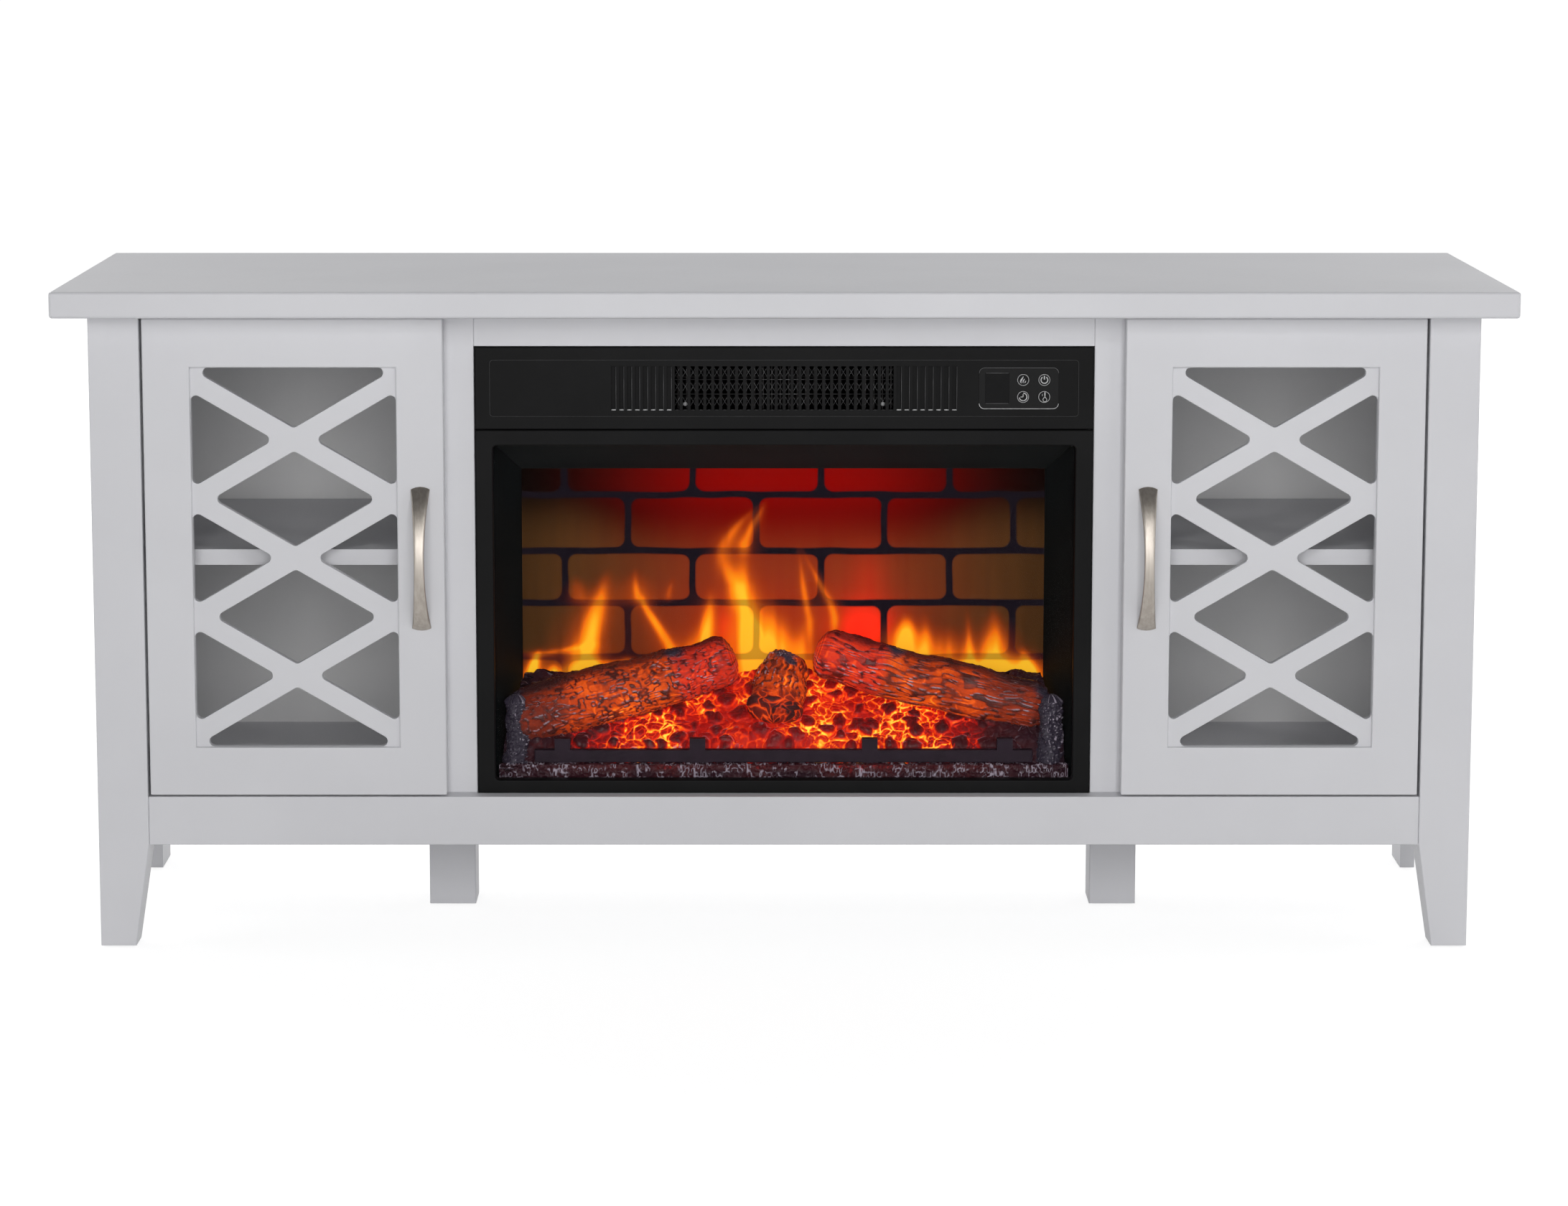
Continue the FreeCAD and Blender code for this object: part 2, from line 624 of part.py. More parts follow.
def make_dowels():
    """Dowels between the boards of the carcass."""
    board_mid_x = panel_x + BOARD / 2
    partition_mid_x = (partition_in_x + partition_out_x) / 2
    stile_mid_y = (stile_y + stile_back_y) / 2
    depth_places = (leg_back_y + PIN_SET_IN, back_y - PIN_SET_IN)
    height_places = (floor_z + PIN_SET_IN, top_z - PIN_SET_IN)
    for name, side in SIDES.items():
        outward = X_AXIS * side
        leg = name + "_front_leg"
        panel = name + "_side_panel"
        partition = name + "_partition"
        stile = name + "_face_stile"
        leg_mid = Vector(side * (leg_x + LEG_WIDTH / 2), front_y + LEG_DEPTH / 2, top_z)
        dowel(leg, "top_panel", leg_mid, Z_AXIS, DOWEL_DEEP, DOWEL_DEEP)
        apron_joint = Vector(side * leg_x, (apron_y + apron_back_y) / 2, (FOOT_CLEARANCE + floor_z) / 2)
        dowel("front_apron", leg, apron_joint, outward, DOWEL_DEEP, DOWEL_DEEP)
        fascia_joint = Vector(side * stile_in_x, stile_mid_y, top_z - FASCIA_HEIGHT / 2)
        dowel("fascia_rail", stile, fascia_joint, outward, DOWEL_DEEP, DOWEL_DEEP)
        for place_z in height_places:
            leg_joint = Vector(side * board_mid_x, leg_back_y, place_z)
            dowel(leg, panel, leg_joint, Y_AXIS, DOWEL_DEEP, DOWEL_DEEP)
            stile_joint = Vector(side * partition_mid_x, stile_back_y, place_z)
            dowel(stile, partition, stile_joint, Y_AXIS, DOWEL_SHALLOW, DOWEL_DEEP)
        for place_y in depth_places:
            floor_joint = Vector(side * panel_x, place_y, (under_z + floor_z) / 2)
            dowel("bottom_panel", panel, floor_joint, outward, DOWEL_DEEP, DOWEL_SHALLOW)
            foot_joint = Vector(side * partition_mid_x, place_y, floor_z)
            dowel("bottom_panel", partition, foot_joint, Z_AXIS, DOWEL_SHALLOW, DOWEL_DEEP)
            head_joint = Vector(side * partition_mid_x, place_y, top_z)
            dowel(partition, "top_panel", head_joint, Z_AXIS, DOWEL_DEEP, DOWEL_DEEP)
            side_joint = Vector(side * board_mid_x, place_y, top_z)
            dowel(panel, "top_panel", side_joint, Z_AXIS, DOWEL_DEEP, DOWEL_DEEP)
        apron_mid = Vector(side * (partition_out_x + leg_x) / 2, apron_back_y, (under_z + floor_z) / 2)
        dowel("front_apron", "bottom_panel", apron_mid, Y_AXIS, DOWEL_SHALLOW, DOWEL_DEEP)


# Doors
def make_door_frames():
    """Door frames with a rebate behind the opening for the lattice."""
    frame = box((door_in_x, door_out_x), (front_y, door_back_y), (door_low_z, door_high_z))
    frame = frame.makeFillet(DOOR_EDGE_ROUND, frame.Edges)
    open_x, open_z = door_opening()
    hole = box(open_x, (front_y - OVERRUN, door_back_y + OVERRUN), open_z)
    rebate_x = (open_x[0] - LATTICE_LAP, open_x[1] + LATTICE_LAP)
    rebate_z = (open_z[0] - LATTICE_LAP, open_z[1] + LATTICE_LAP)
    rebate = box(rebate_x, (front_y + LATTICE_SET_BACK, door_back_y + OVERRUN), rebate_z)
    frame = frame.cut(hole)
    lip = [edge for edge in edges_at(frame, Y_AXIS, front_y) if inside_opening(edge, open_x, open_z)]
    frame = frame.makeFillet(DOOR_EDGE_ROUND, lip)
    pocket_y = door_back_y - CUP_DEPTH - CUP_POCKET_GAP
    for hinge_z in hinge_heights():
        start = Vector(door_out_x - CUP_EDGE_DISTANCE, pocket_y, hinge_z)
        pocket = rod(start, Y_AXIS, CUP_RADIUS + CUP_POCKET_GAP, CUP_DEPTH + OVERRUN)
        frame = frame.cut(pocket)
    add_pair("door_frame", frame.cut(rebate))


def door_opening():
    """X and Z pairs of the right door's lattice opening."""
    open_x = (door_in_x + DOOR_STILE, door_out_x - DOOR_STILE)
    open_z = (door_low_z + DOOR_RAIL, door_high_z - DOOR_RAIL)
    return open_x, open_z


def inside_opening(edge, open_x, open_z):
    """Whether an edge of the front face borders the opening."""
    middle = edge.BoundBox.Center
    across = open_x[0] - EDGE_ROUND < middle.x < open_x[1] + EDGE_ROUND
    upright = open_z[0] - EDGE_ROUND < middle.z < open_z[1] + EDGE_ROUND
    return across and upright


def make_lattices():
    """Cut panels with crosses one above another; the gaps are diamonds and half diamonds."""
    open_x, open_z = door_opening()
    mid_x = sum(open_x) / 2
    mid_z = sum(open_z) / 2
    lap = LATTICE_LAP - LATTICE_LAP_GAP
    lattice_y = front_y + LATTICE_SET_BACK
    panel = box(
        (open_x[0] - lap, open_x[1] + lap), (lattice_y, lattice_y + LATTICE_THICK),
        (open_z[0] - lap, open_z[1] + lap))
    half_width = (open_x[1] - open_x[0]) / 2 - LATTICE_BORDER
    edge_high = (open_z[1] - open_z[0]) / 2 - LATTICE_BORDER
    pitch = (open_z[1] - open_z[0] - 2 * LATTICE_END) / LATTICE_CROSSES
    rise = pitch / 2
    shrink = 1 - LATTICE_STRIP / 2 * math.hypot(1 / half_width, 1 / rise)
    gap_x = half_width * shrink
    gap_z = rise * shrink
    gaps = []
    for number in range(LATTICE_CROSSES):
        cross_z = (number - (LATTICE_CROSSES - 1) / 2) * pitch
        for side in (-1, 1):
            edge_x = side * half_width
            tip = (edge_x - side * gap_x, cross_z)
            gaps.append([tip, (edge_x, cross_z + gap_z), (edge_x, cross_z - gap_z)])
    for number in range(LATTICE_CROSSES - 1):
        gap_mid = (number + 1 - LATTICE_CROSSES / 2) * pitch
        gaps.append([(-gap_x, gap_mid), (0, gap_mid + gap_z), (gap_x, gap_mid), (0, gap_mid - gap_z)])
    for side in (-1, 1):
        tip = LATTICE_CROSSES * pitch / 2 - gap_z
        reach = (edge_high - tip) * half_width / rise
        gaps.append([(0, side * tip), (-reach, side * edge_high), (reach, side * edge_high)])
    for corners in gaps:
        points = [Vector(mid_x + x, lattice_y - OVERRUN, mid_z + z) for x, z in corners]
        gap = prism(points, Y_AXIS * (LATTICE_THICK + 2 * OVERRUN))
        panel = panel.cut(gap.makeFillet(LATTICE_CORNER, edges_along(gap, Y_AXIS)))
    rims = edges_at(panel, Y_AXIS, lattice_y)
    inner = [edge for edge in rims if inside_opening(edge, open_x, open_z)]
    add_pair("door_lattice", panel.makeFillet(LATTICE_EDGE_ROUND, inner))


def handle_place():
    """Middle of the right handle on the face of the door."""
    return Vector(door_in_x + DOOR_STILE / 2, front_y, (door_low_z + door_high_z) / 2)


def make_handles():
    """Bow handles: an arched band, narrow in the middle and flared at its ends, with its screws."""
    middle = handle_place()
    half_length = HANDLE_LENGTH / 2
    half_end = HANDLE_END_WIDTH / 2
    corner_z = half_length - HANDLE_END_BULGE
    inner_z = half_length - HANDLE_FOOT
    inner_y = -HANDLE_PROJECTION + HANDLE_MIDDLE_THICK

    def at(x, y, z):
        return middle + Vector(x, y, z)

    outer_arc = Part.Arc(
        at(-half_end, 0, -half_length), at(-half_end, -HANDLE_PROJECTION, 0), at(-half_end, 0, half_length))
    inner_arc = Part.Arc(
        at(-half_end, 0, inner_z), at(-half_end, inner_y, 0), at(-half_end, 0, -inner_z))
    feet = [
        Part.LineSegment(at(-half_end, 0, half_length), at(-half_end, 0, inner_z)),
        Part.LineSegment(at(-half_end, 0, -inner_z), at(-half_end, 0, -half_length)),
    ]
    band_edges = [outer_arc.toShape(), feet[0].toShape(), inner_arc.toShape(), feet[1].toShape()]
    band = Part.Face(Part.Wire(band_edges)).extrude(X_AXIS * HANDLE_END_WIDTH)
    front = -HANDLE_PROJECTION - OVERRUN
    waist = HANDLE_MIDDLE_WIDTH / 2
    outline = [
        Part.Arc(at(-half_end, front, corner_z), at(0, front, half_length), at(half_end, front, corner_z)),
        Part.Arc(at(half_end, front, corner_z), at(waist, front, 0), at(half_end, front, -corner_z)),
        Part.Arc(at(half_end, front, -corner_z), at(0, front, -half_length), at(-half_end, front, -corner_z)),
        Part.Arc(at(-half_end, front, -corner_z), at(-waist, front, 0), at(-half_end, front, corner_z)),
    ]
    silhouette = Part.Face(Part.Wire([arc.toShape() for arc in outline]))
    handle = band.common(silhouette.extrude(Y_AXIS * (HANDLE_PROJECTION + 2 * OVERRUN)))
    screws = []
    screw_z = half_length - HANDLE_FOOT / 2
    for end in (-1, 1):
        seat = at(0, DOOR_THICK, end * screw_z)
        head = rod(seat, Y_AXIS, HANDLE_SCREW_HEAD_RADIUS, HANDLE_SCREW_HEAD_HEIGHT)
        shank_start = seat - Y_AXIS * (DOOR_THICK + HANDLE_SCREW_BITE)
        shank = rod(shank_start, Y_AXIS, HANDLE_SCREW_RADIUS, DOOR_THICK + HANDLE_SCREW_BITE)
        screws.append(head.fuse(shank).removeSplitter())
        hole_start = shank_start - Y_AXIS * DOWEL_END_GAP
        hole_length = DOOR_THICK + HANDLE_SCREW_BITE + DOWEL_END_GAP
        hole = rod(hole_start, Y_AXIS, HANDLE_SCREW_RADIUS + HANDLE_SCREW_GAP, hole_length)
        handle = handle.cut(hole)
        cut_later("right_door_frame", hole)
        cut_later("left_door_frame", mirrored(hole))
    add_pair("handle", handle)
    add_pair("handle_screws", Part.makeCompound(screws))


# Hinges
def hinge_heights():
    """Heights of the two hinges of a door."""
    return door_low_z + HINGE_FROM_END, door_high_z - HINGE_FROM_END


def hinge_pin_place(hinge_z):
    """Middle of a right-hand hinge pin."""
    return Vector(door_out_x - HINGE_PIN_INSET, front_y + HINGE_PIN_DEPTH, hinge_z)


def make_hinge_cup(hinge_z):
    """Cup let into the back of the right door, with its flange and its pin as a second solid."""
    centre_x = door_out_x - CUP_EDGE_DISTANCE
    bottom = Vector(centre_x, door_back_y - CUP_DEPTH, hinge_z)
    body = rod(bottom, Y_AXIS, CUP_RADIUS, CUP_DEPTH + CUP_FLANGE_THICK)
    flange = rod(Vector(centre_x, door_back_y, hinge_z), Y_AXIS, CUP_FLANGE_RADIUS, CUP_FLANGE_THICK)
    half_wing = CUP_WING_WIDTH / 2
    wing_z = (hinge_z - CUP_WING_LENGTH / 2, hinge_z + CUP_WING_LENGTH / 2)
    wing_x = (centre_x - half_wing, centre_x + half_wing)
    wing_y = (door_back_y, door_back_y + CUP_FLANGE_THICK)
    wings = rounded_plate(wing_x, wing_y, wing_z, half_wing - EDGE_ROUND)
    hollow_start = bottom + Y_AXIS * CUP_WALL
    hollow = rod(hollow_start, Y_AXIS, CUP_RADIUS - CUP_WALL, CUP_DEPTH + OVERRUN)
    pin_mid = hinge_pin_place(hinge_z)
    off_centre = pin_mid.x - centre_x
    half_pin = math.sqrt((CUP_RADIUS - CUP_WALL) ** 2 - off_centre ** 2)
    pin_low = pin_mid - Z_AXIS * half_pin
    pin = rod(pin_low, Z_AXIS, HINGE_PIN_RADIUS, 2 * half_pin)
    bore = rod(pin_low, Z_AXIS, HINGE_PIN_RADIUS + HINGE_PIN_GAP, 2 * half_pin)
    cup = body.fuse([flange, wings]).removeSplitter().cut([hollow, bore])
    return cup, pin


def make_hinge_arm(hinge_z):
    """Bent arm from the hinge pin, out of the cup and round to a plate on the right front leg."""
    pin_mid = hinge_pin_place(hinge_z)
    half = ARM_THICK / 2
    arm_z = (hinge_z - ARM_HEIGHT / 2, hinge_z + ARM_HEIGHT / 2)
    neck_x = pin_mid.x - ARM_REACH
    back_run_y = door_back_y + ARM_CLEARANCE
    plate_x = leg_x - HINGE_PLATE_THICK
    plate_y = leg_back_y - HINGE_PLATE_SET_IN
    knuckle = rod(Vector(pin_mid.x, pin_mid.y, min(arm_z)), Z_AXIS, HINGE_KNUCKLE_RADIUS, ARM_HEIGHT)
    runs = [
        box((neck_x - half, pin_mid.x), (pin_mid.y - half, pin_mid.y + half), arm_z),
        box((neck_x - half, neck_x + half), (pin_mid.y - half, back_run_y + half), arm_z),
        box((neck_x - half, plate_x), (back_run_y - half, back_run_y + half), arm_z),
        box((plate_x, leg_x), (plate_y - HINGE_PLATE_DEPTH, plate_y),
            (hinge_z - HINGE_PLATE_HEIGHT / 2, hinge_z + HINGE_PLATE_HEIGHT / 2)),
    ]
    bore = rod(
        Vector(pin_mid.x, pin_mid.y, min(arm_z) - OVERRUN), Z_AXIS, HINGE_PIN_RADIUS + HINGE_PIN_GAP,
        ARM_HEIGHT + 2 * OVERRUN)
    return knuckle.fuse(runs).removeSplitter().cut(bore)


def make_hinges():
    """Two cup hinges for each door, and the screws of their plates."""
    cups = []
    arms = []
    for hinge_z in hinge_heights():
        cups += make_hinge_cup(hinge_z)
        arm = make_hinge_arm(hinge_z)
        arms += [arm, mirrored(arm)]
        screw_y = leg_back_y - HINGE_PLATE_SET_IN - HINGE_PLATE_DEPTH / 2
        for step in (-1, 1):
            screw_z = hinge_z + step * HINGE_SCREW_SPACING / 2
            for name, side in SIDES.items():
                face = Vector(side * (leg_x - HINGE_PLATE_THICK), screw_y, screw_z)
                wood_screw("hinge_arms", name + "_front_leg", face, X_AXIS * side)
    add_pair("hinge_cups", Part.makeCompound(cups))
    nodes["hinge_arms"] = Part.makeCompound(arms)


# Electric fire
def make_fire_case():
    """Sheet case open at the front, its rear cover with vents, and the cord gland."""
    case = box((-shell_x, shell_x), (frame_back_y, cover_y), (floor_z, shell_high_z))
    hollow = box(
        (-inner_x, inner_x), (frame_back_y - OVERRUN, cover_y + OVERRUN), (inner_low_z, inner_high_z))
    nodes["fire_case"] = case.cut(hollow)
    cover = box((-shell_x, shell_x), (cover_y, fire_rear_y), (floor_z, shell_high_z))
    vent_high = shell_high_z - VENT_TOP_GAP
    for number in range(VENT_COUNT):
        vent_x = (number - (VENT_COUNT - 1) / 2) * VENT_PITCH
        vent = box(
            (vent_x - VENT_WIDTH / 2, vent_x + VENT_WIDTH / 2), (cover_y - OVERRUN, fire_rear_y + OVERRUN),
            (vent_high - VENT_HEIGHT, vent_high))
        cover = cover.cut(vent)
    gland_face = Vector(-shell_x + GLAND_SIDE, fire_rear_y, floor_z + GLAND_RISE)
    inside = gland_face - Y_AXIS * (SHEET + GLAND_INSIDE)
    full_length = SHEET + GLAND_INSIDE + GLAND_FLANGE_THICK
    flange = rod(gland_face, Y_AXIS, GLAND_FLANGE_RADIUS, GLAND_FLANGE_THICK)
    barrel = rod(inside, Y_AXIS, GLAND_RADIUS, full_length)
    bore = rod(inside - Y_AXIS * OVERRUN, Y_AXIS, GLAND_BORE_RADIUS, full_length + 2 * OVERRUN)
    nodes["cord_gland"] = flange.fuse(barrel).removeSplitter().cut(bore)
    hole = rod(inside, Y_AXIS, GLAND_RADIUS + GLAND_GAP, full_length)
    nodes["rear_cover"] = cover.cut(hole)


def make_front_frame():
    """Frame round the viewing opening, and the glass behind it."""
    frame = box((-FIRE_WIDTH / 2, FIRE_WIDTH / 2), (fire_y, frame_back_y), (floor_z, frame_high_z))
    frame = frame.makeFillet(FRAME_EDGE_ROUND, edges_at(frame, Y_AXIS, fire_y))
    hole = rounded_plate(
        (-opening_x, opening_x), (fire_y - OVERRUN, frame_back_y + OVERRUN),
        (opening_low_z, opening_high_z), FRAME_CORNER)
    frame = frame.cut(hole)
    rims = edges_at(frame, Y_AXIS, fire_y)
    open_x = (-opening_x, opening_x)
    lip = [edge for edge in rims if inside_opening(edge, open_x, (opening_low_z, opening_high_z))]
    nodes["front_frame"] = frame.makeFillet(FRAME_EDGE_ROUND, lip)
    glass_x = opening_x + GLASS_LAP
    nodes["viewing_glass"] = box(
        (-glass_x, glass_x), (frame_back_y, glass_back_y),
        (opening_low_z - GLASS_LAP, opening_high_z + GLASS_LAP))


def make_control_strip():
    """Strip above the opening: a shallow sunk panel, outlet slots and a pocket for the controls."""
    half = FIRE_WIDTH / 2
    strip = box((-half, half), (fire_y, frame_back_y), (strip_low_z, fire_high_z))
    strip = strip.makeFillet(STRIP_EDGE_ROUND, edges_at(strip, Y_AXIS, fire_y))
    panel_half = half - STRIP_PANEL_SIDE
    sunk_y = fire_y + STRIP_PANEL_DEPTH
    sunk = rounded_plate(
        (-panel_half, panel_half), (fire_y - OVERRUN, sunk_y),
        (strip_low_z + STRIP_PANEL_TOP, fire_high_z - STRIP_PANEL_TOP), STRIP_PANEL_CORNER)
    cutters = [sunk]
    slot_z = (strip_mid_z - SLOT_HEIGHT / 2, strip_mid_z + SLOT_HEIGHT / 2)
    for number in range(slot_count):
        slot_x = (number - (slot_count - 1) / 2) * SLOT_PITCH
        blind = number < SLOT_BLIND_COUNT or number >= slot_count - SLOT_BLIND_COUNT
        slot_back = sunk_y + SLOT_BLIND_DEPTH if blind else frame_back_y + OVERRUN
        slot_sides = (slot_x - SLOT_WIDTH / 2, slot_x + SLOT_WIDTH / 2)
        cutters.append(box(slot_sides, (sunk_y - OVERRUN, slot_back), slot_z))
    pocket_x, pocket_z = panel_span(PANEL_POCKET_GAP)
    pocket_back = sunk_y + PANEL_POCKET_DEPTH
    cutters.append(rounded_plate(pocket_x, (fire_y - OVERRUN, pocket_back), pocket_z, PANEL_CORNER))
    window_x, window_z = panel_span(-PANEL_LEDGE)
    cutters.append(box(window_x, (fire_y, frame_back_y + OVERRUN), window_z))
    nodes["control_strip"] = strip.cut(cutters)


def panel_span(extra):
    """X and Z pairs of the control panel, grown by an extra on each side."""
    half_x = PANEL_WIDTH / 2 + extra
    half_z = PANEL_HEIGHT / 2 + extra
    panel_x_pair = (control_mid_x - half_x, control_mid_x + half_x)
    panel_z_pair = (strip_mid_z - half_z, strip_mid_z + half_z)
    return panel_x_pair, panel_z_pair


def make_controls():
    """Control panel with its display window, four push buttons and the board behind."""
    plate_x, plate_z = panel_span(0)
    panel_back_y = panel_y + PANEL_THICK
    panel = rounded_plate(plate_x, (panel_y, panel_back_y), plate_z, PANEL_CORNER)
    board_y = frame_back_y
    buttons = {}
    names = (("flame_button", 0, 1), ("power_button", 1, 1), ("timer_button", 0, -1), ("heat_button", 1, -1))
    for name, column, row in names:
        centre_x = control_mid_x + BUTTON_FIRST_OFFSET + column * BUTTON_PITCH_X
        centre_z = strip_mid_z + row * BUTTON_PITCH_Z / 2
        front = Vector(centre_x, panel_y - BUTTON_PROUD, centre_z)
        cap = rod(front, Y_AXIS, BUTTON_RADIUS, BUTTON_PROUD + PANEL_THICK)
        cap = cap.makeFillet(BUTTON_PROUD / 2, edges_at(cap, Y_AXIS, front.y))
        stem = rod(front, Y_AXIS, BUTTON_STEM_RADIUS, board_y - BUTTON_STEM_GAP - front.y)
        stem = stem.cut(rod(front, Y_AXIS, BUTTON_RADIUS, PANEL_THICK))
        nodes[name] = cap.fuse(stem).removeSplitter()
        hole_start = front - Y_AXIS * OVERRUN
        panel = panel.cut(rod(hole_start, Y_AXIS, BUTTON_RADIUS + BUTTON_GAP, PANEL_THICK + 2 * OVERRUN))
        buttons[name] = front
    display_mid_x = control_mid_x + DISPLAY_OFFSET
    half_x = DISPLAY_WIDTH / 2
    half_z = DISPLAY_HEIGHT / 2
    window = box(
        (display_mid_x - half_x, display_mid_x + half_x), (panel_y, panel_y + DISPLAY_THICK),
        (strip_mid_z - half_z, strip_mid_z + half_z))
    recess = box(
        (display_mid_x - half_x - DISPLAY_GAP, display_mid_x + half_x + DISPLAY_GAP),
        (panel_y - OVERRUN, panel_y + DISPLAY_THICK),
        (strip_mid_z - half_z - DISPLAY_GAP, strip_mid_z + half_z + DISPLAY_GAP))
    nodes["control_panel"] = panel.cut(recess)
    nodes["display_window"] = window
    board_x, board_z = panel_span(BOARD_LAP)
    nodes["control_board"] = box(board_x, (board_y, board_y + BOARD_THICK), board_z)
    return buttons


def make_heater():
    """Guard mesh behind the open slots, and the finned heating element behind the guard."""
    half_x = open_slot_span / 2 + GUARD_LAP
    half_z = SLOT_HEIGHT / 2 + GUARD_LAP
    guard_back_y = frame_back_y + GUARD_THICK
    guard_z = (strip_mid_z - half_z, strip_mid_z + half_z)
    guard = box((-half_x, half_x), (frame_back_y, guard_back_y), guard_z)
    cell_z = SLOT_HEIGHT / GUARD_ROWS
    gaps = []
    for column in range(open_slot_count):
        for row in range(GUARD_ROWS):
            gap_x = -open_slot_span / 2 + column * SLOT_PITCH
            gap_z = strip_mid_z - SLOT_HEIGHT / 2 + row * cell_z
            gaps.append(box(
                (gap_x + GUARD_BAR / 2, gap_x + SLOT_PITCH - GUARD_BAR / 2),
                (frame_back_y - OVERRUN, guard_back_y + OVERRUN),
                (gap_z + GUARD_BAR / 2, gap_z + cell_z - GUARD_BAR / 2)))
    nodes["heater_guard"] = guard.cut(gaps)
    element_back_y = guard_back_y + ELEMENT_DEPTH
    case = box((-half_x, half_x), (guard_back_y, element_back_y), guard_z)
    hollow = box(
        (-half_x + ELEMENT_WALL, half_x - ELEMENT_WALL), (guard_back_y - OVERRUN, element_back_y + OVERRUN),
        (min(guard_z) + ELEMENT_WALL, max(guard_z) - ELEMENT_WALL))
    fin_pitch = 2 * half_x / (ELEMENT_FINS + 1)
    fins = []
    for number in range(ELEMENT_FINS):
        fin_x = -half_x + (number + 1) * fin_pitch
        fins.append(box((fin_x, fin_x + ELEMENT_FIN), (guard_back_y, element_back_y), guard_z))
    nodes["heating_element"] = case.cut(hollow).fuse(fins).removeSplitter()
    return element_back_y


def make_blower(element_back_y):
    """Cross-flow blower behind the element: housing, bladed wheel and motor."""
    wall_x = BLOWER_LENGTH / 2 + BLOWER_END_GAP
    end_x = wall_x + SHEET
    housing_y = (element_back_y, element_back_y + BLOWER_DEPTH)
    housing_z = (inner_high_z - BLOWER_DROP, inner_high_z)
    axle_y = sum(housing_y) / 2
    axle_z = sum(housing_z) / 2
    housing = box((-end_x, end_x), housing_y, housing_z)
    duct = box(
        (-wall_x, wall_x), (element_back_y - OVERRUN, max(housing_y) + OVERRUN),
        (min(housing_z) + SHEET, max(housing_z) - SHEET))
    bush_start = Vector(-end_x - BLOWER_BUSH_LENGTH, axle_y, axle_z)
    bush = rod(bush_start, X_AXIS, BLOWER_BUSH_RADIUS, BLOWER_BUSH_LENGTH)
    bore_start = bush_start - X_AXIS * OVERRUN
    bore_length = BLOWER_BUSH_LENGTH + SHEET + 2 * OVERRUN
    bore = rod(bore_start, X_AXIS, BLOWER_SHAFT_RADIUS + SHAFT_GAP, bore_length)
    motor_hole_start = Vector(wall_x - OVERRUN, axle_y, axle_z)
    motor_hole = rod(motor_hole_start, X_AXIS, BLOWER_BUSH_RADIUS, SHEET + 2 * OVERRUN)
    nodes["blower_housing"] = housing.cut(duct).fuse(bush).removeSplitter().cut([bore, motor_hole])
    shaft_start = Vector(-end_x - BLOWER_BUSH_LENGTH, axle_y, axle_z)
    shaft_length = 2 * end_x + BLOWER_BUSH_LENGTH + SHAFT_ENGAGE
    shaft = rod(shaft_start, X_AXIS, BLOWER_SHAFT_RADIUS, shaft_length)
    half_length = BLOWER_LENGTH / 2
    pieces = []
    for disc_x in (-half_length, half_length - BLOWER_DISC):
        pieces.append(rod(Vector(disc_x, axle_y, axle_z), X_AXIS, BLOWER_RADIUS, BLOWER_DISC))
    axle = Vector(0, axle_y, axle_z)
    for number in range(BLOWER_BLADES):
        blade = box(
            (-half_length, half_length),
            (axle_y - BLOWER_BLADE_THICK / 2, axle_y + BLOWER_BLADE_THICK / 2),
            (axle_z + BLOWER_HUB_RADIUS - BLOWER_BLADE_DEPTH, axle_z + BLOWER_HUB_RADIUS))
        blade.rotate(axle, X_AXIS, number * 360 / BLOWER_BLADES)
        pieces.append(blade)
    nodes["blower_wheel"] = shaft.fuse(pieces).removeSplitter()
    motor = rod(Vector(end_x, axle_y, axle_z), X_AXIS, MOTOR_RADIUS, MOTOR_LENGTH)
    motor_bore = rod(
        Vector(end_x - OVERRUN, axle_y, axle_z), X_AXIS, BLOWER_SHAFT_RADIUS + SHAFT_GAP,
        OVERRUN + SHAFT_ENGAGE + SHAFT_END_GAP)
    nodes["blower_motor"] = motor.cut(motor_bore)
    return axle


def make_firebox_lining():
    """Slanting cheeks, sloping hood and the flame screen behind the logs."""
    slope = (screen_top_z - opening_high_z) / (screen_y - glass_back_y)
    hood_half = cheek_x + SHEET
    hood_front_z = opening_high_z + CHEEK_SET_OUT
    hood_rear_z = hood_front_z + slope * (screen_y - glass_back_y)
    hood_points = [
        Vector(-hood_half, glass_back_y, hood_front_z),
        Vector(-hood_half, screen_y, hood_rear_z),
        Vector(-hood_half, screen_y, hood_rear_z + SHEET),
        Vector(-hood_half, glass_back_y, hood_front_z + SHEET),
    ]
    nodes["firebox_hood"] = prism(hood_points, X_AXIS * (2 * hood_half))
    cheek_points = [
        Vector(cheek_x, glass_back_y, inner_low_z),
        Vector(screen_x, screen_y, inner_low_z),
        Vector(screen_x + SHEET, screen_y, inner_low_z),
        Vector(cheek_x + SHEET, glass_back_y, inner_low_z),
    ]
    cheek = prism(cheek_points, Z_AXIS * (inner_high_z - inner_low_z))
    above_points = [
        Vector(0, glass_back_y - OVERRUN, hood_front_z - slope * OVERRUN),
        Vector(0, screen_y + OVERRUN, hood_rear_z + slope * OVERRUN),
        Vector(0, screen_y + OVERRUN, inner_high_z + OVERRUN),
        Vector(0, glass_back_y - OVERRUN, inner_high_z + OVERRUN),
    ]
    cheek = cheek.cut(prism(above_points, X_AXIS * shell_x))
    nodes["firebox_cheeks"] = Part.makeCompound([cheek, mirrored(cheek)])
    screen_half = screen_x + SHEET
    nodes["flame_screen"] = box(
        (-screen_half, screen_half), (screen_y, screen_y + SCREEN_THICK), (inner_low_z, hood_rear_z + SHEET))


